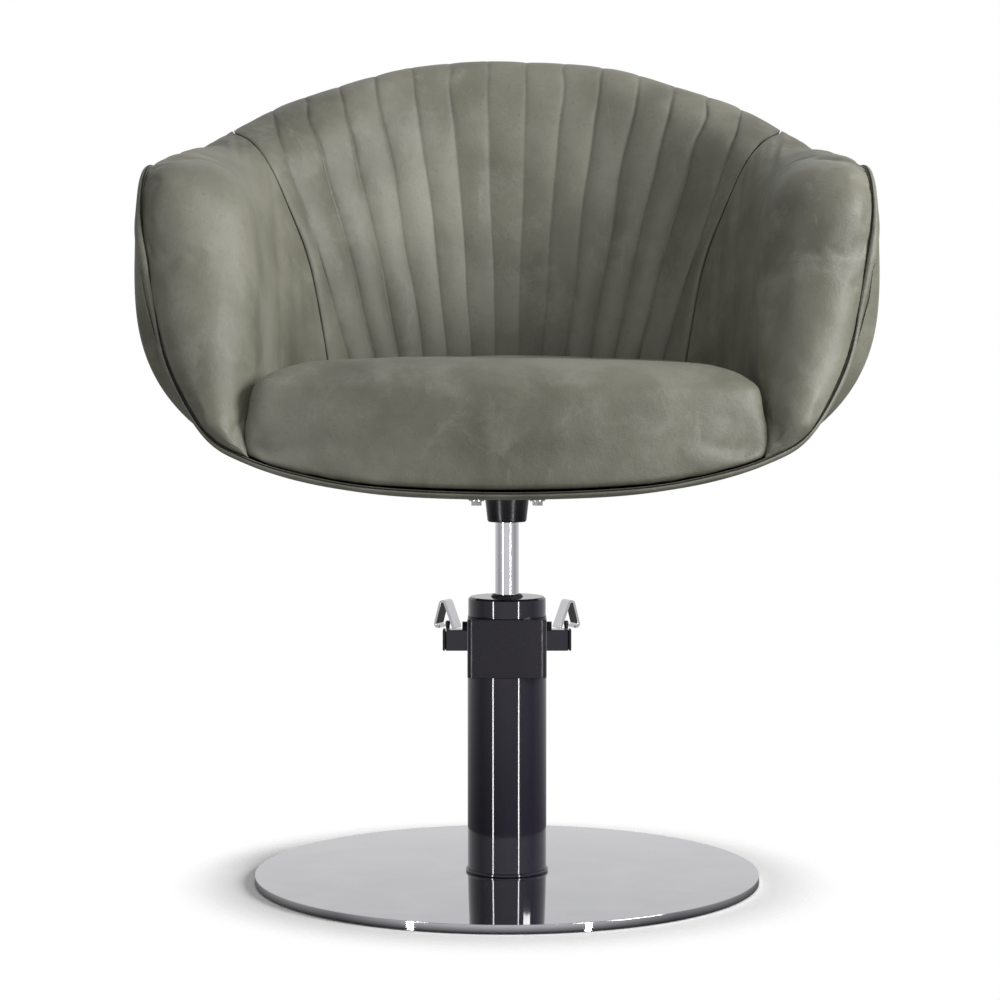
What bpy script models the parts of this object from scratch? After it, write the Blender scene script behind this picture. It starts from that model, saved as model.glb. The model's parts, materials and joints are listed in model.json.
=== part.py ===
"""Salon styling chair: a channelled tub seat on a hydraulic pump and a round base plate.

Metres, +Z up. The origin is on the floor, on the pump's axis. The seat faces -Y and the
foot pedal points to +Y.
"""

import math

import bmesh
import bpy
from mathutils import Vector

# ---------------------------------------------------------------- driving dimensions
GAP = 0.0003                 # clearance kept between pieces that touch

BASE_RADIUS = 0.2525
BASE_TOP = 0.0090
COVER_SKIN = 0.0015
PAD_THICKNESS = 0.0027
BASE_BOLT_ANGLE = 32.0
BASE_BOLT_CIRCLE = 0.0240
BASE_BOLT_RADIUS = 0.0030
BASE_BOLT_TOP = 0.0240
BASE_BOLT_HEAD = 0.0058       # the head's radius
BASE_BOLT_HEAD_DEPTH = 0.0030
PUMP_FOOT_RADIUS = 0.0360
PUMP_FOOT_TOP = 0.0300
COVER_BORE = 0.0402
COVER_EDGE = 0.0012

COLUMN_RADIUS = 0.0395
COLUMN_WALL = 0.0028
COLUMN_TOP = 0.2076

HEAD_BOTTOM = 0.2079
HEAD_TOP = 0.2660
HEAD_HALF_WIDTH = 0.0392
HEAD_FRONT = -0.0405
HEAD_BORE = 0.0345
BOSS_HALF_WIDTH = 0.0240
BOSS_BACK = 0.0780

OIL_TUBE_INNER = 0.0310
OIL_TUBE_OUTER = 0.0335
OIL_TUBE_TOP = 0.2630
BARREL_INNER = 0.0165
BARREL_OUTER = 0.0200
BARREL_TOP = 0.2440
BUSH_RADIUS = 0.0160
CAP_SPIGOT = 0.0307           # the cap's lower part, inside the oil tube
CAP_BOTTOM = 0.2560
CAP_TOP = 0.2855
WIPER_TOP = 0.2880
WIPER_RADIUS = 0.0158
WIPER_BOTTOM = 0.2738
CAP_RADIUS = 0.0388

ROD_RADIUS = 0.01175
ROD_BOTTOM = 0.1180
ROD_TOP = 0.3809

PLUG_Y = 0.0180
PLUG_Z = 0.2540
PLUG_RADIUS = 0.0085
PLUG_SHANK = 0.0030

PIVOT_Y = 0.0640
PIVOT_Z = 0.2220
PIN_RADIUS = 0.0050
PLUNGER_Y = 0.0500
PLUNGER_RADIUS = 0.0060
ARM_HALF_THICKNESS = 0.0060
ARM_END_Y = 0.1897

BAR_FRONT_Y = 0.1900
BAR_DEPTH = 0.0200
BAR_BOTTOM = 0.2088
BAR_TOP = 0.2313
BAR_HALF_LENGTH = 0.0662
BAR_CAP = 0.0030

HUB_BOTTOM = 0.3605
PLATE_BOTTOM = 0.3851
PLATE_TOP = 0.3891
PLATE_HALF_X = 0.0390
PLATE_HALF_Y = 0.0550
BOLT_X = 0.0300
BOLT_Y = 0.0420
BOLT_RADIUS = 0.0030

SHELL_WALL = 0.0058
SHELL_INNER_BOTTOM = 0.3955
SHELL_WIDEST_Z = 0.6000
SHELL_POWER = 2.6            # squareness of the shell's lower curve
SHELL_SIDE_LEAN = -0.03      # the side walls lean in above the widest height
SHELL_BACK_LEAN = 0.10       # the back wall leans out

BOARD_BOTTOM = 0.3994
BOARD_TOP = 0.4084

PIPING_RADIUS = 0.0022
COLUMNS_PER_POINT = 2        # how finely the tub is divided along its rim
PAD_INSET = 0.0050           # between the pads' backs and the shell
PAD_EDGE_INSET = 0.0019      # the same at the rim

# The rim of the shell, from the middle of the front lip to the middle of the back.
RIM = [
    (0.000, -0.272, 0.4040),
    (0.116, -0.267, 0.4085),
    (0.189, -0.256, 0.4205),
    (0.238, -0.244, 0.4355),
    (0.274, -0.230, 0.4575),
    (0.308, -0.211, 0.5140),
    (0.3235, -0.198, 0.5750),
    (0.3360, -0.185, 0.6400),
    (0.3370, -0.170, 0.6810),
    (0.3345, -0.143, 0.7020),
    (0.3325, -0.080, 0.7105),
    (0.3305, 0.000, 0.7185),
    (0.3110, 0.090, 0.7340),
    (0.2720, 0.156, 0.7630),
    (0.2200, 0.206, 0.7930),
    (0.1200, 0.257, 0.8260),
    (0.000, 0.275, 0.8370),
]
# The inner edge of the padded roll, and the line where the pads meet the seat cushion,
# for the rim points from the foot of the arm onwards.
FIRST_PAD = 4
INNER_EDGE = [
    (0.2420, -0.238, 0.4680),
    (0.2410, -0.216, 0.5180),
    (0.2430, -0.197, 0.5780),
    (0.2470, -0.178, 0.6400),
    (0.2500, -0.155, 0.6800),
    (0.2550, -0.120, 0.6960),
    (0.2610, -0.062, 0.7035),
    (0.2600, 0.008, 0.7115),
    (0.2440, 0.075, 0.7280),
    (0.2120, 0.124, 0.7580),
    (0.1720, 0.160, 0.7880),
    (0.0960, 0.204, 0.8220),
    (0.000, 0.220, 0.8330),
]
SEAT_LINE = [
    (0.2390, -0.240, 0.4440),
    (0.2385, -0.220, 0.4500),
    (0.2385, -0.200, 0.4520),
    (0.2385, -0.180, 0.4520),
    (0.2375, -0.157, 0.4520),
    (0.2365, -0.118, 0.4520),
    (0.2340, -0.060, 0.4520),
    (0.2260, 0.002, 0.4520),
    (0.2080, 0.057, 0.4520),
    (0.1820, 0.100, 0.4520),
    (0.1460, 0.131, 0.4520),
    (0.0780, 0.156, 0.4520),
    (0.000, 0.164, 0.4520),
]
LAST = len(RIM) - 1
PAD_SEAM = 12.7              # rim parameter of the seam between arm pad and back pad
ROLL_HEIGHT_ARM_FRONT = 0.017
ROLL_HEIGHT = 0.0105

CUSHION_FRONT_Y = -0.2620
CUSHION_FRONT_BULGE = 0.0040
CUSHION_EDGE_Z = 0.4860
CUSHION_CROWN_Z = 0.5200


# ---------------------------------------------------------------- scene and materials
for old in list(bpy.data.objects):
    bpy.data.objects.remove(old, do_unlink=True)

chair = bpy.data.collections.new("styling_chair")
cutters = bpy.data.collections.new("cutters")
bpy.context.scene.collection.children.link(chair)
bpy.context.scene.collection.children.link(cutters)


def material(name, colour, roughness, metallic=0.0):
    """One Principled material."""
    mat = bpy.data.materials.new(name)
    mat.use_nodes = True
    shader = mat.node_tree.nodes["Principled BSDF"]
    shader.inputs["Base Color"].default_value = (*colour, 1.0)
    shader.inputs["Roughness"].default_value = roughness
    shader.inputs["Metallic"].default_value = metallic
    mat.diffuse_color = (*colour, 1.0)
    return mat


RUBBER = material("black_rubber", (0.02, 0.02, 0.02), 0.7)
STEEL = material("plain_steel", (0.45, 0.45, 0.46), 0.35, 1.0)
MIRROR_STEEL = material("mirror_steel", (0.62, 0.62, 0.64), 0.06, 1.0)
CHROME = material("chrome", (0.80, 0.80, 0.82), 0.05, 1.0)
GLOSS_BLACK = material("gloss_black", (0.018, 0.017, 0.022), 0.12)
BRONZE = material("bronze", (0.55, 0.38, 0.18), 0.4, 1.0)
ZINC = material("zinc_plate", (0.60, 0.60, 0.58), 0.3, 1.0)
PLYWOOD = material("plywood", (0.55, 0.40, 0.25), 0.7)
LEATHER = material("sage_leather", (0.17, 0.17, 0.14), 0.5)
BLACK_CORD = material("black_cord", (0.02, 0.02, 0.02), 0.5)


# ---------------------------------------------------------------- modelling helpers
def place(name, mesh, mat, parent=None, location=(0, 0, 0), rotation=(0, 0, 0), where=None):
    """Link one named object with one material."""
    obj = bpy.data.objects.new(name, mesh)
    (where or chair).objects.link(obj)
    if mat is not None and len(mesh.materials) == 0:
        mesh.materials.append(mat)
    obj.location = location
    obj.rotation_euler = rotation
    obj.parent = parent
    return obj


def turned(name, profile, mat, steps=40, closed=True, **placing):
    """A turned piece: an (radius, height) outline spun round Z by a Screw modifier.

    The outline runs down the outer side. A closed outline makes a ring, an open one
    starts and ends on the axis.
    """
    mesh = bpy.data.meshes.new(name)
    count = len(profile)
    edges = [(i, i + 1) for i in range(count - 1)]
    if closed:
        edges.append((count - 1, 0))
    mesh.from_pydata([(radius, 0.0, height) for radius, height in profile], edges, [])
    obj = place(name, mesh, mat, **placing)
    screw = obj.modifiers.new("turn", "SCREW")
    screw.steps = steps
    screw.render_steps = steps
    screw.use_merge_vertices = True
    screw.merge_threshold = 0.00005
    screw.use_smooth_shade = True
    return obj


def ring(name, inner, outer, bottom, top, mat, edge=0.0, **more):
    """A plain turned ring with a small chamfer on its outer edges."""
    profile = [
        (inner, top),
        (outer - edge, top),
        (outer, top - edge),
        (outer, bottom + edge),
        (outer - edge, bottom),
        (inner, bottom),
    ]
    if edge == 0.0:
        profile = [(inner, top), (outer, top), (outer, bottom), (inner, bottom)]
    return turned(name, profile, mat, **more)


def rod(name, radius, bottom, top, mat, edge=0.0005, **more):
    """A solid turned bar with chamfered ends."""
    profile = [
        (0.0, top),
        (radius - edge, top),
        (radius, top - edge),
        (radius, bottom + edge),
        (radius - edge, bottom),
        (0.0, bottom),
    ]
    if edge == 0.0:
        profile = [(0.0, top), (radius, top), (radius, bottom), (0.0, bottom)]
    return turned(name, profile, mat, closed=False, **more)


def flat_plate(name, outlines, half_thickness, mat, **placing):
    """A flat outline, with optional holes, extruded by a 2D curve and turned to a mesh."""
    curve = bpy.data.curves.new(name, "CURVE")
    curve.dimensions = "2D"
    curve.fill_mode = "BOTH"
    curve.extrude = half_thickness
    for outline in outlines:
        spline = curve.splines.new("POLY")
        spline.points.add(len(outline) - 1)
        for point, (x, y) in zip(spline.points, outline):
            point.co = (x, y, 0.0, 1.0)
        spline.use_cyclic_u = True
    return meshed(name, curve, mat, **placing)


def meshed(name, curve, mat, **placing):
    """Turn a curve into a mesh object, with its caps welded."""
    temporary = bpy.data.objects.new(name + "_curve", curve)
    cutters.objects.link(temporary)
    bpy.context.view_layer.update()
    graph = bpy.context.evaluated_depsgraph_get()
    mesh = bpy.data.meshes.new_from_object(temporary.evaluated_get(graph))
    mesh.materials.clear()
    work = bmesh.new()
    work.from_mesh(mesh)
    bmesh.ops.remove_doubles(work, verts=work.verts, dist=0.00002)
    bmesh.ops.recalc_face_normals(work, faces=work.faces)
    work.to_mesh(mesh)
    work.free()
    bpy.data.objects.remove(temporary)
    return place(name, mesh, mat, **placing)


def box(name, low, high, mat, **placing):
    """A box between two corners."""
    mesh = bpy.data.meshes.new(name)
    work = bmesh.new()
    bmesh.ops.create_cube(work, size=1.0)
    size = [b - a for a, b in zip(low, high)]
    middle = [(a + b) / 2.0 for a, b in zip(low, high)]
    bmesh.ops.scale(work, verts=work.verts, vec=size)
    bmesh.ops.translate(work, verts=work.verts, vec=middle)
    work.to_mesh(mesh)
    work.free()
    return place(name, mesh, mat, **placing)


def bevel(obj, width, segments=2, angle=40.0):
    """Round the edges of a piece."""
    modifier = obj.modifiers.new("edges", "BEVEL")
    modifier.width = width
    modifier.segments = segments
    modifier.limit_method = "ANGLE"
    modifier.angle_limit = math.radians(angle)
    return obj


def cut(obj, cutter):
    """Subtract a cutter, which is hidden from the model."""
    cutter.display_type = "WIRE"
    cutter.hide_render = True
    modifier = obj.modifiers.new("cut_" + cutter.name, "BOOLEAN")
    modifier.operation = "DIFFERENCE"
    modifier.solver = "EXACT"
    modifier.object = cutter


def drill(obj, name, radius, centre, depth, axis="Z", steps=20):
    """Cut a round hole: depth is the drill's full length, centred on the point."""
    turn = {"X": (0, math.pi / 2, 0), "Y": (math.pi / 2, 0, 0), "Z": (0, 0, 0)}[axis]
    tool = rod(name, radius, -depth / 2, depth / 2, None, edge=0.0, steps=steps,
               location=centre, rotation=turn, where=cutters)
    cut(obj, tool)


def hexagon(name, across, bottom, top, mat, **placing):
    """A six-sided bolt head or nut along Z."""
    radius = across / 2.0 / math.cos(math.pi / 6)
    mesh = bpy.data.meshes.new(name)
    work = bmesh.new()
    bmesh.ops.create_cone(work, cap_ends=True, segments=6, radius1=radius, radius2=radius,
                          depth=top - bottom)
    bmesh.ops.translate(work, verts=work.verts, vec=(0, 0, (top + bottom) / 2))
    work.to_mesh(mesh)
    work.free()
    return place(name, mesh, mat, **placing)


def arc(centre, radius, start, end, count):
    """Points on an arc in a plane, angles in degrees."""
    points = []
    for i in range(count + 1):
        angle = math.radians(start + (end - start) * i / count)
        points.append((centre[0] + radius * math.cos(angle),
                       centre[1] + radius * math.sin(angle)))
    return points


def rounded_rectangle(half_x, half_y, radius, count=3):
    """A rectangle's outline with round corners, counter-clockwise."""
    points = []
    corners = [(1, -1, -90), (1, 1, 0), (-1, 1, 90), (-1, -1, 180)]
    for sx, sy, start in corners:
        centre = (sx * (half_x - radius), sy * (half_y - radius))
        points += arc(centre, radius, start, start + 90, count)
    return points


# ---------------------------------------------------------------- base
def build_base():
    """Floor pad, steel plate, polished cover and the four bolts that hold the pump."""
    rod("floor_pad", BASE_RADIUS - 0.006, 0.0, PAD_THICKNESS, RUBBER, edge=0.0006, steps=64)
    plate_top = BASE_TOP - COVER_SKIN - GAP
    plate = rod("base_plate", BASE_RADIUS - COVER_SKIN - GAP, PAD_THICKNESS + GAP, plate_top,
                STEEL, edge=0.0, steps=64)
    turned("base_cover", [
        (COVER_BORE, BASE_TOP),
        (BASE_RADIUS - COVER_EDGE, BASE_TOP),
        (BASE_RADIUS, BASE_TOP - COVER_EDGE),
        (BASE_RADIUS, 0.0010),
        (BASE_RADIUS - COVER_SKIN, 0.0010),
        (BASE_RADIUS - COVER_SKIN, BASE_TOP - COVER_SKIN),
        (COVER_BORE, BASE_TOP - COVER_SKIN),
    ], MIRROR_STEEL, steps=64)
    foot = rod("pump_foot", PUMP_FOOT_RADIUS, plate_top + GAP, PUMP_FOOT_TOP, STEEL, edge=0.001)
    low = PAD_THICKNESS + 2 * GAP
    head_top = low + BASE_BOLT_HEAD_DEPTH
    bore = BASE_BOLT_RADIUS + GAP
    for index in range(4):
        angle = math.radians(BASE_BOLT_ANGLE + 90 * index)
        spot = (BASE_BOLT_CIRCLE * math.cos(angle), BASE_BOLT_CIRCLE * math.sin(angle), 0.0)
        name = "base_bolt_%d" % (index + 1)
        turned(name, [
            (0.0, BASE_BOLT_TOP),
            (BASE_BOLT_RADIUS, BASE_BOLT_TOP),
            (BASE_BOLT_RADIUS, head_top),
            (BASE_BOLT_HEAD, head_top - 0.0008),
            (BASE_BOLT_HEAD, low),
            (0.0, low),
        ], ZINC, steps=16, closed=False, location=spot)
        drill(plate, "hole_" + name, bore, (spot[0], spot[1], 0.006), 0.02, steps=16)
        drill(plate, "sink_" + name, BASE_BOLT_HEAD + GAP, (spot[0], spot[1], low),
              2 * (BASE_BOLT_HEAD_DEPTH + GAP), steps=16)
        drill(foot, "thread_" + name, bore, (spot[0], spot[1], 0.014), 0.0212, steps=16)


# ---------------------------------------------------------------- pump
def build_pump():
    """The hydraulic pump: outer column, oil tube, cylinder, head, cap and seals."""
    ring("column_tube", COLUMN_RADIUS - COLUMN_WALL, COLUMN_RADIUS, BASE_TOP + GAP,
         COLUMN_TOP, GLOSS_BLACK, steps=48)
    ring("foot_ring", COLUMN_RADIUS + GAP, COLUMN_RADIUS + 0.0020, BASE_TOP + GAP,
         BASE_TOP + 0.0032, GLOSS_BLACK, edge=0.0006, steps=48)
    ring("oil_tube", OIL_TUBE_INNER, OIL_TUBE_OUTER, PUMP_FOOT_TOP + GAP, OIL_TUBE_TOP, STEEL,
         steps=32)
    ring("cylinder_barrel", BARREL_INNER, BARREL_OUTER, PUMP_FOOT_TOP + GAP, BARREL_TOP, STEEL,
         steps=32)
    turned("guide_bush", [
        (ROD_RADIUS + GAP, WIPER_BOTTOM - GAP),
        (BUSH_RADIUS, WIPER_BOTTOM - GAP),
        (BUSH_RADIUS, BARREL_TOP + GAP),
        (ROD_RADIUS + GAP, BARREL_TOP + GAP),
    ], BRONZE, steps=32)
    turned("pump_cap", [
        (WIPER_RADIUS + 0.0005, CAP_TOP),
        (CAP_RADIUS - 0.0020, CAP_TOP),
        (CAP_RADIUS, CAP_TOP - 0.0020),
        (CAP_RADIUS, HEAD_TOP + GAP),
        (CAP_SPIGOT, HEAD_TOP + GAP),
        (CAP_SPIGOT, CAP_BOTTOM),
        (WIPER_RADIUS + 0.0005, CAP_BOTTOM),
    ], GLOSS_BLACK, steps=48)
    turned("wiper_seal", [
        (ROD_RADIUS + GAP, WIPER_TOP),
        (WIPER_RADIUS - 0.0018, WIPER_TOP),
        (WIPER_RADIUS, WIPER_TOP - 0.0017),
        (WIPER_RADIUS, WIPER_BOTTOM),
        (ROD_RADIUS + GAP, WIPER_BOTTOM),
    ], RUBBER, steps=32)
    build_head()


def build_head():
    """The cast pump head, which closes the column and carries the pedal."""
    radius = 0.0060
    middle = (HEAD_TOP + HEAD_BOTTOM) / 2
    half_height = (HEAD_TOP - HEAD_BOTTOM) / 2
    side = HEAD_HALF_WIDTH
    outline = arc((side - radius, HEAD_FRONT + radius), radius, -90, 0, 4)
    outline += [(side, 0.030)]
    outline += arc((BOSS_HALF_WIDTH + 0.006, 0.050), 0.006, -90, -180, 3)
    outline += arc((BOSS_HALF_WIDTH - 0.004, BOSS_BACK - 0.004), 0.004, 0, 90, 3)
    mirrored = [(-x, y) for x, y in reversed(outline)]
    head = flat_plate("pump_head", [outline + mirrored], half_height, GLOSS_BLACK,
                      location=(0, 0, middle))
    bevel(head, 0.0012, segments=1, angle=60.0)
    drill(head, "head_bore", HEAD_BORE, (0, 0, middle), 0.09, steps=48)
    slot = box("pedal_slot", (-0.0078, 0.0400, 0.195), (0.0078, 0.095, 0.2385), None,
               where=cutters)
    cut(head, slot)
    drill(head, "plunger_bore", PLUNGER_RADIUS + GAP, (0, PLUNGER_Y, 0.2500), 0.0270)
    drill(head, "pin_bore", PIN_RADIUS + GAP, (0, PIVOT_Y, PIVOT_Z), 0.08, axis="X")
    for side_name, sign in (("left", -1), ("right", 1)):
        drill(head, "plug_bore_" + side_name, PLUG_SHANK + GAP,
              (sign * HEAD_HALF_WIDTH, PLUG_Y, PLUG_Z), 0.0110, axis="X", steps=16)
    build_side_plug("release_valve", -1)
    build_side_plug("oil_plug", 1)

    rod("pivot_pin", PIN_RADIUS, -0.0272, 0.0272, ZINC, steps=20,
        location=(0, PIVOT_Y, PIVOT_Z), rotation=(0, math.pi / 2, 0))
    for side_name, sign in (("left", -1), ("right", 1)):
        near = BOSS_HALF_WIDTH + GAP
        ring("pin_clip_" + side_name, PIN_RADIUS + GAP, 0.0078, near, near + 0.0012, ZINC,
             steps=20, location=(0, PIVOT_Y, PIVOT_Z), rotation=(0, sign * math.pi / 2, 0))


def build_side_plug(name, sign):
    """A screw plug with a hexagonal head in the side of the pump head."""
    near = HEAD_HALF_WIDTH + GAP
    placing = {"location": (0, PLUG_Y, PLUG_Z), "rotation": (0, sign * math.pi / 2, 0)}
    head = hexagon(name, PLUG_RADIUS, near, near + 0.0055, GLOSS_BLACK, **placing)
    shank = rod(name + "_shank", PLUG_SHANK, near - 0.0045, near + 0.001, None, edge=0.0,
                steps=16, where=cutters, **placing)
    shank.display_type = "WIRE"
    shank.hide_render = True
    union = head.modifiers.new("shank", "BOOLEAN")
    union.operation = "UNION"
    union.solver = "EXACT"
    union.object = shank


def build_piston():
    """The piston on the end of the rod, with its seal."""
    turned("piston_head", [
        (0.0, ROD_BOTTOM - GAP),
        (0.0161, ROD_BOTTOM - GAP),
        (0.0161, ROD_BOTTOM - 0.0040),
        (0.0135, ROD_BOTTOM - 0.0040),
        (0.0135, ROD_BOTTOM - 0.0090),
        (0.0161, ROD_BOTTOM - 0.0090),
        (0.0161, ROD_BOTTOM - 0.0130),
        (0.0, ROD_BOTTOM - 0.0130),
    ], STEEL, steps=32, closed=False)
    ring("piston_seal", 0.0138, 0.0162, ROD_BOTTOM - 0.0087, ROD_BOTTOM - 0.0043, RUBBER,
         steps=32)


def build_plunger():
    """The small pump plunger that the pedal pushes, and the spring behind it."""
    rod("pump_plunger", PLUNGER_RADIUS, 0.2322, 0.2500, STEEL, steps=20,
        location=(0, PLUNGER_Y, 0))
    turns = 4
    points_per_turn = 10
    wire = 0.0006
    low = 0.2500 + GAP + wire
    high = 0.2635 - GAP - wire
    count = turns * points_per_turn
    curve = bpy.data.curves.new("plunger_spring", "CURVE")
    curve.dimensions = "3D"
    curve.bevel_depth = wire
    curve.bevel_resolution = 1
    curve.use_fill_caps = True
    spline = curve.splines.new("POLY")
    spline.points.add(count)
    for index, point in enumerate(spline.points):
        angle = 2 * math.pi * index / points_per_turn
        height = low + (high - low) * index / count
        point.co = (0.0048 * math.cos(angle), PLUNGER_Y + 0.0048 * math.sin(angle), height, 1)
    meshed("plunger_spring", curve, STEEL)


# ---------------------------------------------------------------- foot pedal
def build_pedal():
    """The pedal: an arm on the pivot pin, a crossbar and a chrome toe loop at each end."""
    pivot = bpy.data.objects.new("pedal_pivot", None)
    chair.objects.link(pivot)
    pivot.location = (0, PIVOT_Y, PIVOT_Z)

    reach = ARM_END_Y - PIVOT_Y
    drop = (BAR_TOP + BAR_BOTTOM) / 2 - PIVOT_Z
    outline = arc((-0.014, 0.0038), 0.0060, 100, 260, 8)
    outline += arc((0, 0), 0.0110, 215, 285, 4)
    outline += [(0.030, drop - 0.0065), (reach, drop - 0.0085)]
    outline += [(reach, drop + 0.0085), (0.030, drop + 0.0105)]
    outline += arc((0, 0), 0.0110, 65, 115, 4)
    hole = arc((0, 0), PIN_RADIUS + GAP, 0, 342, 19)
    flat_plate("pedal_arm", [outline, hole], ARM_HALF_THICKNESS, GLOSS_BLACK, parent=pivot,
               rotation=(math.pi / 2, 0, math.pi / 2))

    bar_y = BAR_FRONT_Y - PIVOT_Y
    low = BAR_BOTTOM - PIVOT_Z
    high = BAR_TOP - PIVOT_Z
    bar = box("pedal_crossbar", (-BAR_HALF_LENGTH, bar_y, low),
              (BAR_HALF_LENGTH, bar_y + BAR_DEPTH, high), GLOSS_BLACK, parent=pivot)
    bevel(bar, 0.0010, segments=1)
    for side_name, sign in (("left", -1), ("right", 1)):
        near = sign * (BAR_HALF_LENGTH + GAP)
        far = sign * (BAR_HALF_LENGTH + BAR_CAP)
        cap = box("bar_cap_" + side_name, (min(near, far), bar_y, low),
                  (max(near, far), bar_y + BAR_DEPTH, high), RUBBER, parent=pivot)
        bevel(cap, 0.0008, segments=1)
        build_toe_loop(side_name, sign, pivot, bar_y, high)


def build_toe_loop(side_name, sign, pivot, bar_y, bar_top):
    """A bent flat chrome loop that stands on the crossbar, and the rubber knob inside it."""
    half_band = 0.0013
    half_depth = 0.0095
    corners = [(0.0526, 0.0018), (0.0663, 0.0373), (0.0752, 0.0030), (0.0700, 0.0030)]
    path = [corners[0]]
    for before, corner, after in zip(corners, corners[1:], corners[2:]):
        path += fillet(before, corner, after, 0.0030, 5)
    path.append(corners[-1])
    left_side, right_side = offset_path(path, half_band)
    outline = left_side + list(reversed(right_side))
    outline = [(sign * x, y) for x, y in outline]
    middle_x = sign * 0.066
    outline = [(x - middle_x, y) for x, y in outline]
    loop = flat_plate("toe_loop_" + side_name, [outline], half_depth, CHROME, parent=pivot,
                      location=(middle_x, bar_y + 0.010, bar_top + GAP),
                      rotation=(math.pi / 2, 0, sign * math.radians(24)))
    bevel(loop, 0.0005, segments=1)
    turned("toe_knob_" + side_name, [
        (0.0, 0.0092),
        (0.0018, 0.0088),
        (0.0025, 0.0074),
        (0.0026, 0.0055),
        (0.0021, 0.0030),
        (0.0021, 0.0),
        (0.0, 0.0),
    ], RUBBER, steps=16, closed=False, parent=pivot,
        location=(sign * 0.0638, bar_y + 0.0100, bar_top + GAP))


def fillet(before, corner, after, radius, count):
    """Points that round a corner of a path with an arc."""
    corner = Vector(corner)
    back = (Vector(before) - corner).normalized()
    ahead = (Vector(after) - corner).normalized()
    half_angle = back.angle(ahead) / 2
    centre = corner + (back + ahead).normalized() * (radius / math.sin(half_angle))
    start = corner + back * (radius / math.tan(half_angle)) - centre
    end = corner + ahead * (radius / math.tan(half_angle)) - centre
    first = math.degrees(math.atan2(start.y, start.x))
    turn = math.degrees(math.atan2(start.cross(end), start.dot(end)))
    return arc(centre, radius, first, first + turn, count)


def offset_path(path, distance):
    """The two sides of a band that follows a path in a plane."""
    first, second = [], []
    for index, (x, y) in enumerate(path):
        before = path[max(index - 1, 0)]
        after = path[min(index + 1, len(path) - 1)]
        along = Vector((after[0] - before[0], after[1] - before[1])).normalized()
        first.append((x - along.y * distance, y + along.x * distance))
        second.append((x + along.y * distance, y - along.x * distance))
    return first, second


# ---------------------------------------------------------------- seat mount
def build_mount():
    """Piston rod, tapered hub, plate, bolts and the board that they clamp."""
    rod("piston_rod", ROD_RADIUS, ROD_BOTTOM, ROD_TOP, CHROME, steps=32)
    turned("hub_socket", [
        (ROD_RADIUS + GAP, PLATE_BOTTOM - GAP),
        (0.0218, PLATE_BOTTOM - GAP),
        (0.0218, PLATE_BOTTOM - 0.0030),
        (0.0195, HUB_BOTTOM + 0.0012),
        (0.0183, HUB_BOTTOM),
        (ROD_RADIUS + GAP, HUB_BOTTOM),
    ], GLOSS_BLACK, steps=40)
    plate = flat_plate("mounting_plate",
                       [rounded_rectangle(PLATE_HALF_X, PLATE_HALF_Y, 0.008)],
                       (PLATE_TOP - PLATE_BOTTOM) / 2, GLOSS_BLACK,
                       location=(0, 0, (PLATE_TOP + PLATE_BOTTOM) / 2))
    backing_low = SHELL_INNER_BOTTOM + 0.0020
    backing_high = BOARD_BOTTOM - GAP
    backing = flat_plate("backing_plate", [rounded_rectangle(0.038, 0.050, 0.014)],
                         (backing_high - backing_low) / 2, STEEL,
                         location=(0, 0, (backing_high + backing_low) / 2))
    board = flat_plate("seat_board", [rounded_rectangle(0.080, 0.074, 0.034, 5)],
                       (BOARD_TOP - BOARD_BOTTOM) / 2, PLYWOOD,
                       location=(0, -0.015, (BOARD_TOP + BOARD_BOTTOM) / 2))
    shell = build_shell()
    number = 0
    for x in (-BOLT_X, BOLT_X):
        for y in (-BOLT_Y, BOLT_Y):
            number += 1
            build_bolt_stack(number, x, y)
            for piece in (plate, backing, shell):
                drill(piece, "%s_hole_%d" % (piece.name, number), BOLT_RADIUS + 0.0005,
                      (x, y, PLATE_TOP), 0.04, steps=12)
            drill(board, "board_hole_%d" % number, 0.0052, (x, y, BOARD_BOTTOM), 0.04, steps=12)


def build_bolt_stack(number, x, y):
    """One seat bolt from below, its washer, and the tee nut in the board."""
    washer_top = PLATE_BOTTOM - GAP
    washer_low = washer_top - 0.0014
    head_top = washer_low - GAP
    head = hexagon("seat_bolt_%d" % number, 0.0100, head_top - 0.0040, head_top, ZINC,
                   location=(x, y, 0))
    shank = rod("seat_bolt_shank_%d" % number, BOLT_RADIUS, head_top - 0.001, BOARD_TOP + 0.0008, None,
                edge=0.0, steps=12, location=(x, y, 0), where=cutters)
    shank.display_type = "WIRE"
    shank.hide_render = True
    union = head.modifiers.new("shank", "BOOLEAN")
    union.operation = "UNION"
    union.solver = "EXACT"
    union.object = shank
    ring("washer_%d" % number, BOLT_RADIUS + GAP, 0.0075, washer_low, washer_top, ZINC,
         steps=24, location=(x, y, 0))
    turned("tee_nut_%d" % number, [
        (BOLT_RADIUS + GAP, BOARD_TOP + 0.0018),
        (0.0090, BOARD_TOP + 0.0018),
        (0.0090, BOARD_TOP + GAP),
        (0.0048, BOARD_TOP + GAP),
        (0.0048, BOARD_BOTTOM + 0.0015),
        (BOLT_RADIUS + GAP, BOARD_BOTTOM + 0.0015),
    ], ZINC, steps=12, location=(x, y, 0))


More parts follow.
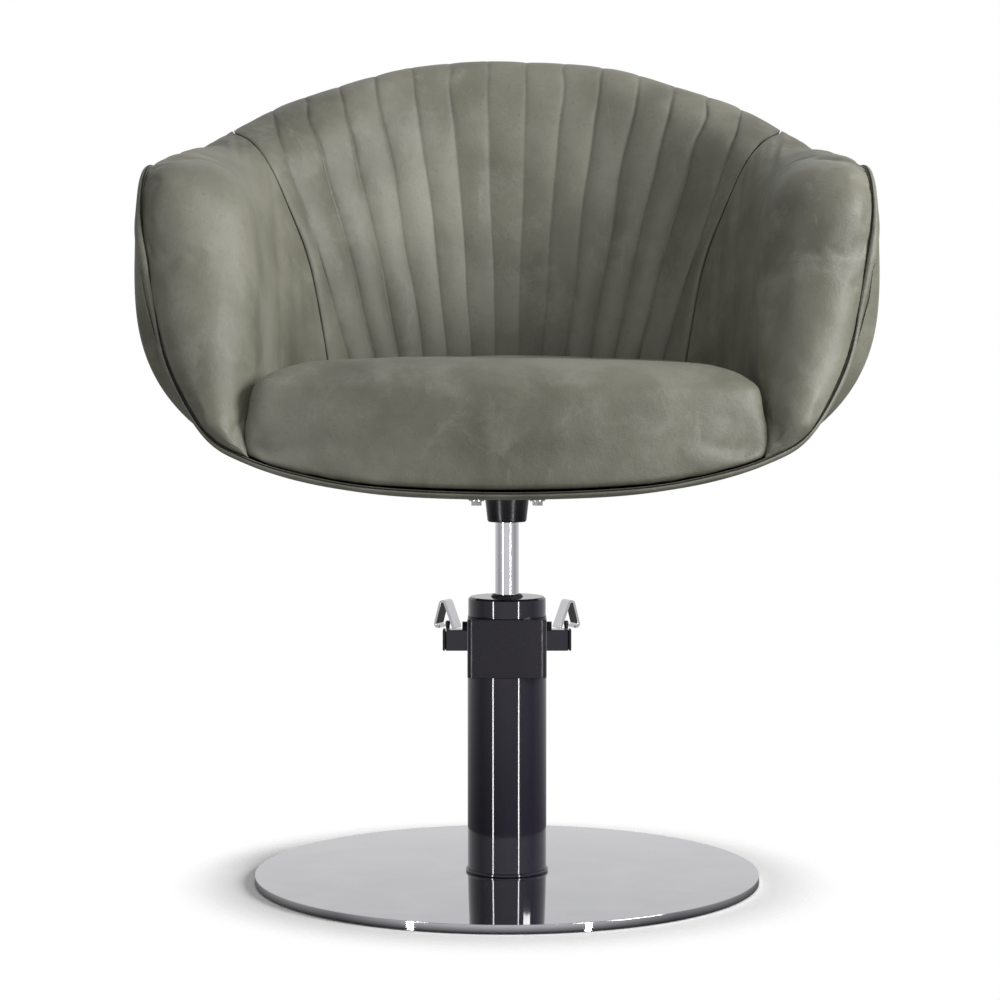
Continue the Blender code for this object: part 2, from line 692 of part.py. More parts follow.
# ---------------------------------------------------------------- tub surfaces
def smooth_point(points, t):
    """A point on the smooth curve through the points; whole numbers hit them."""
    last = len(points) - 1
    t = min(max(t, 0.0), float(last))
    index = min(int(t), last - 1)
    f = t - index

    def at(i):
        # a curve that starts or ends on the chair's middle plane is mirrored there
        if 0 <= i <= last:
            return Vector(points[i])
        end, inside = (points[0], points[1]) if i < 0 else (points[-1], points[-2])
        if end[0] == 0.0:
            return Vector((-inside[0], inside[1], inside[2]))
        return 2 * Vector(end) - Vector(inside)

    p0, p1, p2, p3 = at(index - 1), at(index), at(index + 1), at(index + 2)
    return 0.5 * (2 * p1 + (p2 - p0) * f + (2 * p0 - 5 * p1 + 4 * p2 - p3) * f * f
                  + (3 * p1 - p0 - 3 * p2 + p3) * f ** 3)


def line_at(points, t, first=0):
    """Follow a line round both halves of the chair: t runs from 0 to twice LAST."""
    if t <= LAST:
        return smooth_point(points, t - first)
    x, y, z = smooth_point(points, 2 * LAST - t - first)
    return Vector((-x, y, z))


def curve_share(z):
    """The lower curve of the shell's wall: 0 at the bottom, 1 at the widest height."""
    depth = (SHELL_WIDEST_Z - z) / (SHELL_WIDEST_Z - SHELL_INNER_BOTTOM)
    if depth <= 0.0:
        return 1.0
    return max(1.0 - depth ** SHELL_POWER, 0.0) ** (1.0 / SHELL_POWER)


def lean_at(direction):
    """How much the wall leans in or out, from its direction in plan."""
    back_share = max(direction.y, 0.0) ** 1.5
    return SHELL_SIDE_LEAN + (SHELL_BACK_LEAN - SHELL_SIDE_LEAN) * back_share


def shell_point(t, u):
    """The shell's inner surface: t along the rim, u from the bottom (0) to the rim (1)."""
    rim = line_at(RIM, t)
    flat = Vector((rim.x, rim.y, 0.0))
    direction = flat.normalized()
    lean = lean_at(direction) * max(rim.z - SHELL_WIDEST_Z, 0.0)
    widest = (flat.length - lean) / curve_share(rim.z)
    height = SHELL_WIDEST_Z - SHELL_INNER_BOTTOM
    power = 2.0 / SHELL_POWER
    if rim.z < SHELL_WIDEST_Z:
        share = ((SHELL_WIDEST_Z - rim.z) / height) ** (1.0 / power)
        length = math.acos(min(share, 1.0)) / (math.pi / 2)
    else:
        length = 1.0 + (rim.z - SHELL_WIDEST_Z) / height
    walked = u * length
    if walked <= 1.0:
        angle = walked * math.pi / 2
        radius = widest * math.sin(angle) ** power
        z = SHELL_WIDEST_Z - height * max(math.cos(angle), 0.0) ** power
    else:
        z = SHELL_WIDEST_Z + (walked - 1.0) * height
        radius = widest + lean_at(direction) * (z - SHELL_WIDEST_Z)
    return direction * radius + Vector((0.0, 0.0, z))


def rim_frame(t):
    """At a rim point: the point, the direction along the rim, the wall's outward normal and
    the direction that leaves the wall's edge."""
    step = 0.02
    point = line_at(RIM, t)
    along = Vector((1.0, 0.0, 0.0))
    if step < t < 2 * LAST - step:
        along = (line_at(RIM, t + step) - line_at(RIM, t - step)).normalized()
    down = (point - shell_point(t, 0.94)).normalized()
    outward = along.cross(down).normalized()
    if outward.dot(point - Vector((0.0, 0.0, SHELL_WIDEST_Z))) < 0:
        outward.negate()
    edge = outward.cross(along).normalized()
    if edge.dot(down) < 0:
        edge.negate()
    return point, along, outward, edge


def build_shell():
    """The moulded tub shell: an open bowl, thickened outwards."""
    columns = rim_steps(COLUMNS_PER_POINT)
    heights = [0.03, 0.08] + [0.16 + 0.84 * step / 9 for step in range(10)]
    work = bmesh.new()
    centre = work.verts.new((0, 0, SHELL_INNER_BOTTOM))
    grid = []
    for t in columns:
        grid.append([work.verts.new(shell_point(t, u)) for u in heights])
    count = len(columns)
    for index in range(count):
        here, there = grid[index], grid[(index + 1) % count]
        work.faces.new((centre, there[0], here[0]))
        for row in range(len(heights) - 1):
            work.faces.new((here[row], there[row], there[row + 1], here[row + 1]))
    bmesh.ops.recalc_face_normals(work, faces=work.faces)
    mesh = bpy.data.meshes.new("outer_shell")
    work.to_mesh(mesh)
    work.free()
    shell = place("outer_shell", mesh, LEATHER)
    facing = mesh.polygons[0].normal.z
    thick = shell.modifiers.new("wall", "SOLIDIFY")
    thick.thickness = SHELL_WALL
    thick.offset = 1.0 if facing < 0 else -1.0
    return shell


def rim_steps(per_point):
    """Values of t all the way round the rim, without the repeated end."""
    total = 2 * LAST * per_point
    return [index / per_point for index in range(total)]


def build_piping():
    """The black piping cord that runs round the rim, between shell and pads."""
    curve = bpy.data.curves.new("rim_piping", "CURVE")
    curve.dimensions = "3D"
    curve.bevel_depth = PIPING_RADIUS
    curve.bevel_resolution = 1
    spline = curve.splines.new("POLY")
    steps = rim_steps(COLUMNS_PER_POINT)
    spline.points.add(len(steps) - 1)
    for point, t in zip(spline.points, steps):
        rim, _, outward, edge = rim_frame(t)
        spot = rim + outward * (PIPING_RADIUS + 0.0008) + edge * (PIPING_RADIUS + 0.0023)
        point.co = (*spot, 1.0)
    spline.use_cyclic_u = True
    meshed("rim_piping", curve, BLACK_CORD)


# ---------------------------------------------------------------- upholstery
def pad_section(t):
    """The closed cross-section of the padding at one rim position."""
    rim, _, outward, edge = rim_frame(t)
    inner = line_at(INNER_EDGE, t, FIRST_PAD)
    seat = line_at(SEAT_LINE, t, FIRST_PAD)
    low = seat.z
    wall = []
    rows = 5
    low_u = height_to_u(t, low)
    for row in range(rows):
        u = low_u + (1.0 - low_u) * row / rows
        wall.append(inset_wall(t, u, PAD_INSET))
    start = rim - outward * PAD_EDGE_INSET
    half = (inner - start) / 2
    lift = half.cross(rim_frame(t)[1]).normalized()
    if lift.dot(edge) < 0:
        lift.negate()
    forward = max(-edge.y, 0.0)
    height = ROLL_HEIGHT + (ROLL_HEIGHT_ARM_FRONT - ROLL_HEIGHT) * forward
    roll = []
    count = 7
    for index in range(count + 1):
        angle = math.pi * index / count
        roll.append(start + half * (1 - math.cos(angle)) + lift * height * math.sin(angle))
    face = [inner.lerp(seat, share) for share in (0.35, 0.7, 1.0)]
    return wall + roll + face


def height_to_u(t, z):
    """The u at which the shell's inner surface reaches a height."""
    low, high = 0.0, 1.0
    for _ in range(30):
        middle = (low + high) / 2
        if shell_point(t, middle).z < z:
            low = middle
        else:
            high = middle
    return (low + high) / 2


def inset_wall(t, u, distance):
    """A point just inside the shell's inner surface."""
    point = shell_point(t, u)
    along = shell_point(t + 0.02, u) - shell_point(t - 0.02, u)
    up = shell_point(t, min(u + 0.01, 1.0)) - shell_point(t, u - 0.01)
    normal = along.cross(up).normalized()
    if normal.dot(Vector((point.x, point.y, point.z - SHELL_WIDEST_Z))) < 0:
        normal.negate()
    return point - normal * distance


def close_section(work, loop):
    """Close a pad's end with a strip of triangles, the same on both sides of a seam."""
    first, last = 0, len(loop) - 1
    while last - first > 1:
        work.faces.new((loop[first], loop[first + 1], loop[last]))
        if last - first > 2:
            work.faces.new((loop[first + 1], loop[last - 1], loop[last]))
        first += 1
        last -= 1


def build_pad(name, start, end):
    """One upholstered pad: a loft of closed sections between two rim positions."""
    work = bmesh.new()
    between = [t for t in rim_steps(COLUMNS_PER_POINT) if start + 0.1 < t < end - 0.1]
    loops = []
    for t in [start] + between + [end]:
        loops.append([work.verts.new(point) for point in pad_section(t)])
    size = len(loops[0])
    for here, there in zip(loops, loops[1:]):
        for index in range(size):
            after = (index + 1) % size
            work.faces.new((here[index], here[after], there[after], there[index]))
    for loop in (loops[0], loops[-1]):
        close_section(work, loop)
    bmesh.ops.recalc_face_normals(work, faces=work.faces)
    mesh = bpy.data.meshes.new(name)
    work.to_mesh(mesh)
    work.free()
    return place(name, mesh, LEATHER)


def cushion_outline(count):
    """The cushion's plan outline: the pads' seat line, inset, closed by the front edge."""
    points = []
    start, end = FIRST_PAD + 0.6, 2 * LAST - FIRST_PAD - 0.6
    for index in range(count + 1):
        spot = line_at(SEAT_LINE, start + (end - start) * index / count, FIRST_PAD)
        flat = Vector((spot.x, spot.y))
        centre = Vector((0.0, -0.05))
        reach = (flat - centre).length
        points.append(centre + (flat - centre) * (1.0 - 0.0022 / reach))
    front = CUSHION_FRONT_Y
    corner = 0.030
    left = points[-1].x
    right = points[0].x
    for index in range(1, 4):
        angle = math.radians(180 + 22.5 * index)
        points.append(Vector((left + corner + corner * math.cos(angle),
                              front + corner + corner * math.sin(angle))))
    for index in range(9):
        share = index / 8
        x = (left + corner) + (right - left - 2 * corner) * share
        points.append(Vector((x, front - CUSHION_FRONT_BULGE * math.sin(math.pi * share))))
    for index in range(1, 4):
        angle = math.radians(270 + 22.5 * index)
        points.append(Vector((right - corner + corner * math.cos(angle),
                              front + corner + corner * math.sin(angle))))
    return points


def bowl_height(x, y):
    """Height of the shell's inner surface under a point in plan."""
    target = math.atan2(x, -y)
    low, high = 0.0, 2.0 * LAST
    for _ in range(30):
        middle = (low + high) / 2
        rim = line_at(RIM, middle)
        angle = math.atan2(rim.x, -rim.y) % (2 * math.pi)
        if angle < target % (2 * math.pi):
            low = middle
        else:
            high = middle
    t = (low + high) / 2
    radius = math.hypot(x, y)
    low, high = 0.0, 1.0
    for _ in range(30):
        middle = (low + high) / 2
        spot = shell_point(t, middle)
        if math.hypot(spot.x, spot.y) < radius:
            low = middle
        else:
            high = middle
    return shell_point(t, (low + high) / 2).z


def build_cushion():
    """The seat cushion: rings of its outline, from the bowl up over a crowned top."""
    outline = cushion_outline(22)
    centre = Vector((0.0, -0.055))
    top_rings = [(1.0, 0.0), (0.975, 0.55), (0.92, 0.80), (0.75, 0.93), (0.45, 0.99)]
    over_board = 0.66
    bottom_rings = [0.35, over_board, 0.82, 0.965]
    work = bmesh.new()
    loops = []
    for share in bottom_rings:
        loop = []
        for point in outline:
            spot = centre + (point - centre) * share
            under = bowl_height(spot.x, spot.y) + 0.0042
            if share <= over_board:
                under = max(under, BOARD_TOP + 0.0024)
            loop.append(work.verts.new((spot.x, spot.y, under)))
        loops.append(loop)
    for share, rise in top_rings:
        loop = []
        for point in outline:
            spot = centre + (point - centre) * share
            height = CUSHION_EDGE_Z + (CUSHION_CROWN_Z - CUSHION_EDGE_Z) * rise
            loop.append(work.verts.new((spot.x, spot.y, height)))
        loops.append(loop)
    size = len(outline)
    for here, there in zip(loops, loops[1:]):
        for index in range(size):
            after = (index + 1) % size
            work.faces.new((here[index], here[after], there[after], there[index]))
    for loop, height in ((loops[0], None), (loops[-1], CUSHION_CROWN_Z)):
        if height is None:
            middle = work.verts.new((centre.x, centre.y, BOARD_TOP + 0.0024))
        else:
            middle = work.verts.new((centre.x, centre.y, height))
        for index in range(size):
            work.faces.new((loop[index], loop[(index + 1) % size], middle))
    bmesh.ops.recalc_face_normals(work, faces=work.faces)
    mesh = bpy.data.meshes.new("seat_cushion")
    work.to_mesh(mesh)
    work.free()
    place("seat_cushion", mesh, LEATHER)


def build_upholstery():
    """Arm pads, back pad, cushion and piping."""
    seam_gap = 0.006
    first = FIRST_PAD + 0.02
    build_pad("arm_pad_right", first, PAD_SEAM - seam_gap)
    build_pad("back_pad", PAD_SEAM + seam_gap, 2 * LAST - PAD_SEAM - seam_gap)
    build_pad("arm_pad_left", 2 * LAST - PAD_SEAM + seam_gap, 2 * LAST - first)
    build_cushion()
    build_piping()


build_base()
build_pump()
build_piston()
build_plunger()
build_pedal()
build_mount()
build_upholstery()
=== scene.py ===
import json
import math

import bpy
import numpy as np
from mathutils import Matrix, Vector, noise


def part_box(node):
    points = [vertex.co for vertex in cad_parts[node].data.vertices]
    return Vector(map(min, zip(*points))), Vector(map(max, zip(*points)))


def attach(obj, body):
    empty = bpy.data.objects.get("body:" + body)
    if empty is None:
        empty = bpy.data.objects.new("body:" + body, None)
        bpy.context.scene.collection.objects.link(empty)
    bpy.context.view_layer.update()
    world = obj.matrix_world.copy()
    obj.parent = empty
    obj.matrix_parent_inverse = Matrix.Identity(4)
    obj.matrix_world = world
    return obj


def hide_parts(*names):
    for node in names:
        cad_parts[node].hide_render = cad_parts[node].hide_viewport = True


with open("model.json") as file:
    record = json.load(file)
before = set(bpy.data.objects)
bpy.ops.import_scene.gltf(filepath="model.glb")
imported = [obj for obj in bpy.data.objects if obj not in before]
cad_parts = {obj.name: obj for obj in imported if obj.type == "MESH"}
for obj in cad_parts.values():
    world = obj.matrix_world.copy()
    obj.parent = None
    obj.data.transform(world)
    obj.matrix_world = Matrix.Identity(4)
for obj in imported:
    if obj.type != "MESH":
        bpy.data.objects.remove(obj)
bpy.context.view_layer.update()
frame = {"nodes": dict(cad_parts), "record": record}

# ------------------------------------------------------------------ the tub's own shape
# The same curves and functions as in the CAD source, in metres. t runs along the rim from
# the middle of the front lip (0) over the right arm to the middle of the back (LAST), then
# back along the left side to 2 * LAST.
RIM = [
    (0.0000, -0.272, 0.4040),
    (0.1160, -0.267, 0.4085),
    (0.1890, -0.256, 0.4205),
    (0.2380, -0.244, 0.4355),
    (0.2740, -0.230, 0.4575),
    (0.3080, -0.211, 0.5140),
    (0.3235, -0.198, 0.5750),
    (0.3360, -0.185, 0.6400),
    (0.3370, -0.170, 0.6810),
    (0.3345, -0.143, 0.7020),
    (0.3325, -0.080, 0.7105),
    (0.3305, 0.000, 0.7185),
    (0.3110, 0.090, 0.7340),
    (0.2720, 0.156, 0.7630),
    (0.2200, 0.206, 0.7930),
    (0.1200, 0.257, 0.8260),
    (0.0000, 0.275, 0.8370),
]
FIRST_PAD = 4
INNER_EDGE = [
    (0.2420, -0.238, 0.4680),
    (0.2410, -0.216, 0.5180),
    (0.2430, -0.197, 0.5780),
    (0.2470, -0.178, 0.6400),
    (0.2500, -0.155, 0.6800),
    (0.2550, -0.120, 0.6960),
    (0.2610, -0.062, 0.7035),
    (0.2600, 0.008, 0.7115),
    (0.2440, 0.075, 0.7280),
    (0.2120, 0.124, 0.7580),
    (0.1720, 0.160, 0.7880),
    (0.0960, 0.204, 0.8220),
    (0.0000, 0.220, 0.8330),
]
SEAT_LINE = [
    (0.2390, -0.240, 0.4440),
    (0.2385, -0.220, 0.4500),
    (0.2385, -0.200, 0.4520),
    (0.2385, -0.180, 0.4520),
    (0.2375, -0.157, 0.4520),
    (0.2365, -0.118, 0.4520),
    (0.2340, -0.060, 0.4520),
    (0.2260, 0.002, 0.4520),
    (0.2080, 0.057, 0.4520),
    (0.1820, 0.100, 0.4520),
    (0.1460, 0.131, 0.4520),
    (0.0780, 0.156, 0.4520),
    (0.0000, 0.164, 0.4520),
]
LAST = len(RIM) - 1
SHELL_INNER_BOTTOM = 0.3955
SHELL_WIDEST_Z = 0.6000
SHELL_POWER = 2.6             # squareness of the shell's lower curve
SHELL_SIDE_LEAN = -0.03       # the side walls lean in above the widest height
SHELL_BACK_LEAN = 0.10        # the back wall leans out
SHELL_WALL = 0.0058
ROLL_HEIGHT_ARM_FRONT = 0.0175
ROLL_HEIGHT = 0.0068
PAD_INSET = 0.0050            # between the pads' backs and the shell
PAD_EDGE_INSET = 0.0006       # the same at the rim
PIPING_RADIUS = 0.0008


def smooth_point(points, t):
    """A point on the smooth curve through the points; whole numbers hit them."""
    last = len(points) - 1
    t = min(max(t, 0.0), float(last))
    index = min(int(t), last - 1)
    f = t - index

    def at(i):
        # a curve that starts or ends on the chair's middle plane is mirrored there
        if 0 <= i <= last:
            return Vector(points[i])
        end, inside = (points[0], points[1]) if i < 0 else (points[-1], points[-2])
        if end[0] == 0.0:
            return Vector((-inside[0], inside[1], inside[2]))
        return 2 * Vector(end) - Vector(inside)

    p0, p1, p2, p3 = at(index - 1), at(index), at(index + 1), at(index + 2)
    return 0.5 * (2 * p1 + (p2 - p0) * f + (2 * p0 - 5 * p1 + 4 * p2 - p3) * f * f
                  + (3 * p1 - p0 - 3 * p2 + p3) * f ** 3)


def line_at(points, t, first=0):
    """Follow a line round both halves of the chair: t runs from 0 to twice LAST."""
    if t <= LAST:
        return smooth_point(points, t - first)
    x, y, z = smooth_point(points, 2 * LAST - t - first)
    return Vector((-x, y, z))


def curve_share(z):
    """The lower curve of the shell's wall: 0 at the bottom, 1 at the widest height."""
    depth = (SHELL_WIDEST_Z - z) / (SHELL_WIDEST_Z - SHELL_INNER_BOTTOM)
    if depth <= 0.0:
        return 1.0
    return max(1.0 - depth ** SHELL_POWER, 0.0) ** (1.0 / SHELL_POWER)


def lean_at(direction):
    """How much the wall leans in or out, from its direction in plan."""
    back_share = max(direction.y, 0.0) ** 1.5
    return SHELL_SIDE_LEAN + (SHELL_BACK_LEAN - SHELL_SIDE_LEAN) * back_share


def shell_point(t, u):
    """The shell's inner surface: t along the rim, u from the bottom (0) to the rim (1)."""
    rim = line_at(RIM, t)
    flat = Vector((rim.x, rim.y, 0.0))
    direction = flat.normalized()
    lean = lean_at(direction) * max(rim.z - SHELL_WIDEST_Z, 0.0)
    widest = (flat.length - lean) / curve_share(rim.z)
    height = SHELL_WIDEST_Z - SHELL_INNER_BOTTOM
    power = 2.0 / SHELL_POWER
    if rim.z < SHELL_WIDEST_Z:
        share = ((SHELL_WIDEST_Z - rim.z) / height) ** (1.0 / power)
        length = math.acos(min(share, 1.0)) / (math.pi / 2)
    else:
        length = 1.0 + (rim.z - SHELL_WIDEST_Z) / height
    walked = u * length
    if walked <= 1.0:
        angle = walked * math.pi / 2
        radius = widest * math.sin(angle) ** power
        z = SHELL_WIDEST_Z - height * max(math.cos(angle), 0.0) ** power
    else:
        z = SHELL_WIDEST_Z + (walked - 1.0) * height
        radius = widest + lean_at(direction) * (z - SHELL_WIDEST_Z)
    return direction * radius + Vector((0.0, 0.0, z))


def rim_frame(t):
    """At a rim point: the point, the direction along the rim, the wall's outward normal and
    the direction that leaves the wall's edge."""
    step = 0.02
    point = line_at(RIM, t)
    along = Vector((1.0, 0.0, 0.0))
    if step < t < 2 * LAST - step:
        along = (line_at(RIM, t + step) - line_at(RIM, t - step)).normalized()
    down = (point - shell_point(t, 0.94)).normalized()
    outward = along.cross(down).normalized()
    if outward.dot(point - Vector((0.0, 0.0, SHELL_WIDEST_Z))) < 0:
        outward.negate()
    edge = outward.cross(along).normalized()
    if edge.dot(down) < 0:
        edge.negate()
    return point, along, outward, edge


def height_to_u(t, z):
    """The u at which the shell's inner surface reaches a height."""
    low, high = 0.0, 1.0
    for _ in range(24):
        middle = (low + high) / 2
        if shell_point(t, middle).z < z:
            low = middle
        else:
            high = middle
    return (low + high) / 2


def inset_wall(t, u, distance):
    """A point just inside the shell's inner surface."""
    point = shell_point(t, u)
    along = shell_point(t + 0.02, u) - shell_point(t - 0.02, u)
    up = shell_point(t, min(u + 0.01, 1.0)) - shell_point(t, u - 0.01)
    normal = along.cross(up).normalized()
    if normal.dot(Vector((point.x, point.y, point.z - SHELL_WIDEST_Z))) < 0:
        normal.negate()
    return point - normal * distance


# ------------------------------------------------------------------ materials
def material(name):
    """An empty node material with its Principled shader: (material, nodes, links, shader)."""
    mat = bpy.data.materials.new(name)
    mat.use_nodes = True
    nodes, links = mat.node_tree.nodes, mat.node_tree.links
    return mat, nodes, links, nodes["Principled BSDF"]


def object_space(nodes):
    """Coordinates in metres that move with the piece."""
    return nodes.new("ShaderNodeTexCoord").outputs["Object"]


def noise_node(nodes, links, coord, scale, detail=4.0, rough=0.55, distortion=0.0):
    node = nodes.new("ShaderNodeTexNoise")
    node.inputs["Scale"].default_value = scale
    node.inputs["Detail"].default_value = detail
    node.inputs["Roughness"].default_value = rough
    node.inputs["Distortion"].default_value = distortion
    links.new(coord, node.inputs["Vector"])
    return node.outputs["Fac"]


def ramp(nodes, links, source, stops):
    """A colour or value ramp: stops are (position, colour) pairs."""
    node = nodes.new("ShaderNodeValToRGB")
    elements = node.color_ramp.elements
    while len(elements) < len(stops):
        elements.new(0.5)
    for element, (position, colour) in zip(elements, stops):
        element.position = position
        value = colour if isinstance(colour, tuple) else (colour,) * 3
        element.color = (*value, 1.0)
    links.new(source, node.inputs["Fac"])
    return node.outputs["Color"]


def mix(nodes, links, factor, a, b, blend="MIX"):
    """Mixes two colours; a, b and factor may be sockets or plain values."""
    node = nodes.new("ShaderNodeMix")
    node.data_type = "RGBA"
    node.blend_type = blend
    for socket, value in ((node.inputs[0], factor), (node.inputs[6], a), (node.inputs[7], b)):
        if isinstance(value, bpy.types.NodeSocket):
            links.new(value, socket)
        elif isinstance(value, tuple):
            socket.default_value = (*value, 1.0)
        else:
            socket.default_value = value
    return node.outputs[2]


def maths(nodes, links, operation, a, b):
    """A sum, product or other step; a and b may be sockets or plain values."""
    node = nodes.new("ShaderNodeMath")
    node.operation = operation
    for socket, value in zip(node.inputs, (a, b)):
        if isinstance(value, bpy.types.NodeSocket):
            links.new(value, socket)
        else:
            socket.default_value = value
    return node.outputs[0]


def bump(nodes, links, height, strength, distance):
    node = nodes.new("ShaderNodeBump")
    node.inputs["Strength"].default_value = strength
    node.inputs["Distance"].default_value = distance
    links.new(height, node.inputs["Height"])
    return node.outputs["Normal"]


def stretched(nodes, links, coord, scale):
    """The coordinates scaled by axis, so that a pattern runs longer along the smaller ones."""
    node = nodes.new("ShaderNodeMapping")
    node.inputs["Scale"].default_value = scale
    links.new(coord, node.inputs["Vector"])
    return node.outputs["Vector"]


# linear colours of the leatherette, from the shaded creases to the palest wear
LEATHER_DEEP = (0.108, 0.106, 0.077)
LEATHER_MIDDLE = (0.168, 0.167, 0.128)
LEATHER_LIGHT = (0.240, 0.238, 0.190)
LEATHER_RUBBED = (0.250, 0.250, 0.208)
LEATHER_WORN = (0.300, 0.300, 0.255)
LEATHER_SPECK = (0.085, 0.083, 0.062)
# painted shade for the seams and channel creases
LEATHER_SEAM_SHADE = (0.040, 0.039, 0.028)
GRAIN_SCALE = 560.0           # pebbles to the metre
GRAIN_HEIGHT = 0.00005
CREASE_HEIGHT = 0.0011


def leather_material():
    """Distressed sage leatherette: cloudy colour, pale rubbed marks, painted shade along the seams,
    fine grain and creases.
    """
    mat, nodes, links, shader = material("sage_leather")
    coord = object_space(nodes)
    clouds = noise_node(nodes, links, coord, 6.0, 5.0, 0.55, 0.2)
    colour = ramp(nodes, links, clouds, [
        (0.34, LEATHER_DEEP),
        (0.50, LEATHER_MIDDLE),
        (0.66, LEATHER_LIGHT),
    ])
    patches = noise_node(nodes, links, coord, 24.0, 8.0, 0.70, 0.25)
    patch_mask = ramp(nodes, links, patches, [(0.50, 0.0), (0.66, 1.0)])
    colour = mix(nodes, links, maths(nodes, links, "MULTIPLY", patch_mask, 0.50), colour,
                 LEATHER_RUBBED)
    streak_space = stretched(nodes, links, coord, (5.0, 5.0, 1.3))
    streaks = noise_node(nodes, links, streak_space, 9.0, 8.0, 0.72, 0.3)
    streak_mask = ramp(nodes, links, streaks, [(0.60, 0.0), (0.72, 1.0)])
    colour = mix(nodes, links, maths(nodes, links, "MULTIPLY", streak_mask, 0.45), colour,
                 LEATHER_WORN)
    specks = noise_node(nodes, links, coord, 260.0, 3.0, 0.7)
    speck_mask = ramp(nodes, links, specks, [(0.30, 1.0), (0.42, 0.0)])
    colour = mix(nodes, links, maths(nodes, links, "MULTIPLY", speck_mask, 0.30), colour,
                 LEATHER_SPECK)
    # painted shade: darkens the leather along the seams and channel creases, as much as the seam
    # attribute says
    seam = nodes.new("ShaderNodeAttribute")
    seam.attribute_name = "seam"
    colour = mix(nodes, links, maths(nodes, links, "MULTIPLY", seam.outputs["Fac"], 0.72),
                 colour, LEATHER_SEAM_SHADE)
    links.new(colour, shader.inputs["Base Color"])
    rough = ramp(nodes, links, clouds, [(0.3, 0.44), (0.7, 0.56)])
    links.new(rough, shader.inputs["Roughness"])
    shader.inputs["Specular IOR Level"].default_value = 0.42
    shader.inputs["Sheen Weight"].default_value = 0.06
    shader.inputs["Sheen Roughness"].default_value = 0.45
    cells = nodes.new("ShaderNodeTexVoronoi")
    cells.feature = "DISTANCE_TO_EDGE"
    cells.inputs["Scale"].default_value = GRAIN_SCALE
    links.new(coord, cells.inputs["Vector"])
    pebbles = ramp(nodes, links, cells.outputs["Distance"], [(0.0, 0.0), (0.22, 1.0)])
    height = maths(nodes, links, "ADD", maths(nodes, links, "MULTIPLY", pebbles, GRAIN_HEIGHT),
                   maths(nodes, links, "MULTIPLY", patches, CREASE_HEIGHT))
    normal = bump(nodes, links, height, 1.0, 1.0)
    links.new(normal, shader.inputs["Normal"])
    return mat


def cord_material():
    """Black leatherette piping: fine grain, slightly worn high spots."""
    mat, nodes, links, shader = material("black_cord")
    coord = object_space(nodes)
    grain = noise_node(nodes, links, coord, 420.0, 4.0, 0.6)
    colour = ramp(nodes, links, grain, [(0.3, (0.008, 0.008, 0.008)), (0.75, (0.022, 0.021, 0.019))])
    links.new(colour, shader.inputs["Base Color"])
    links.new(ramp(nodes, links, grain, [(0.3, 0.38), (0.7, 0.55)]), shader.inputs["Roughness"])
    links.new(bump(nodes, links, grain, 0.3, 0.0003), shader.inputs["Normal"])
    shader.inputs["Specular IOR Level"].default_value = 0.2
    return mat


def metal_material(name, colour, rough, spread=0.03, metallic=1.0, grain=(1.0, 1.0, 1.0),
                   scale=180.0, bump_height=0.00002, coat=0.0, specular=0.5):
    """A metal, plating or gloss paint whose colour and roughness vary finely over it."""
    mat, nodes, links, shader = material(name)
    coord = stretched(nodes, links, object_space(nodes), grain)
    fine = noise_node(nodes, links, coord, scale, 5.0, 0.6)
    smudge = noise_node(nodes, links, object_space(nodes), 14.0, 5.0, 0.6, 0.5)
    darker = tuple(channel * 0.90 for channel in colour)
    links.new(ramp(nodes, links, smudge, [(0.3, darker), (0.7, colour)]), shader.inputs["Base Color"])
    both = maths(nodes, links, "ADD", maths(nodes, links, "MULTIPLY", fine, 0.5),
                 maths(nodes, links, "MULTIPLY", smudge, 0.5))
    links.new(ramp(nodes, links, both, [(0.3, max(rough - spread, 0.0)), (0.7, rough + spread)]),
              shader.inputs["Roughness"])
    shader.inputs["Metallic"].default_value = metallic
    shader.inputs["Coat Weight"].default_value = coat
    shader.inputs["Coat Roughness"].default_value = 0.03
    shader.inputs["Specular IOR Level"].default_value = specular
    links.new(bump(nodes, links, fine, 0.25, bump_height), shader.inputs["Normal"])
    return mat


def plywood_material():
    mat, nodes, links, shader = material("birch_plywood")
    coord = stretched(nodes, links, object_space(nodes), (3.0, 30.0, 220.0))
    grain = noise_node(nodes, links, coord, 2.0, 6.0, 0.6, 0.8)
    links.new(ramp(nodes, links, grain, [(0.3, (0.42, 0.29, 0.17)), (0.7, (0.62, 0.46, 0.29))]),
              shader.inputs["Base Color"])
    shader.inputs["Roughness"].default_value = 0.6
    links.new(bump(nodes, links, grain, 0.3, 0.0004), shader.inputs["Normal"])
    return mat


LEATHER = leather_material()
CORD = cord_material()
FINISHES = {
    "gloss_black": metal_material("gloss_black", (0.0125, 0.0102, 0.0200), 0.07, 0.02, 0.0,
                                  coat=0.4, specular=0.5),
    "chrome": metal_material("chrome", (0.88, 0.88, 0.89), 0.05, 0.02),
    "mirror_steel": metal_material("mirror_steel", (0.66, 0.66, 0.67), 0.035, 0.015),
    "steel": metal_material("machined_steel", (0.45, 0.45, 0.46), 0.34, 0.08, grain=(1, 1, 12)),
    "zinc": metal_material("zinc_plate", (0.62, 0.62, 0.60), 0.24, 0.08, scale=90.0),
    "zinc_black": metal_material("black_oxide", (0.030, 0.029, 0.033), 0.30, 0.08, 0.6),
    "rubber": metal_material("black_rubber", (0.014, 0.014, 0.014), 0.50, 0.10, 0.0,
                             bump_height=0.0002, specular=0.35),
    "bronze": metal_material("bronze", (0.55, 0.38, 0.18), 0.38, 0.08),
    "plywood": plywood_material(),
    "leather": LEATHER,
    "cord": CORD,
}
# the same black paint for the pump head and hub, rougher and with its colour painted a little lighter
# as a painted brighter reflection on these parts
SATIN_BLACK_PAINTED_LIGHTER = metal_material("satin_black_painted_lighter", (0.0150, 0.0130, 0.0190), 0.26, 0.05, 0.0, specular=0.5)
PAINTED_LIGHTER_NODES = ("pump_head", "hub_socket")


WELD_DISTANCE = 0.00001
SHARP_ANGLE = 28.0            # degrees; flatter edges are shaded smooth


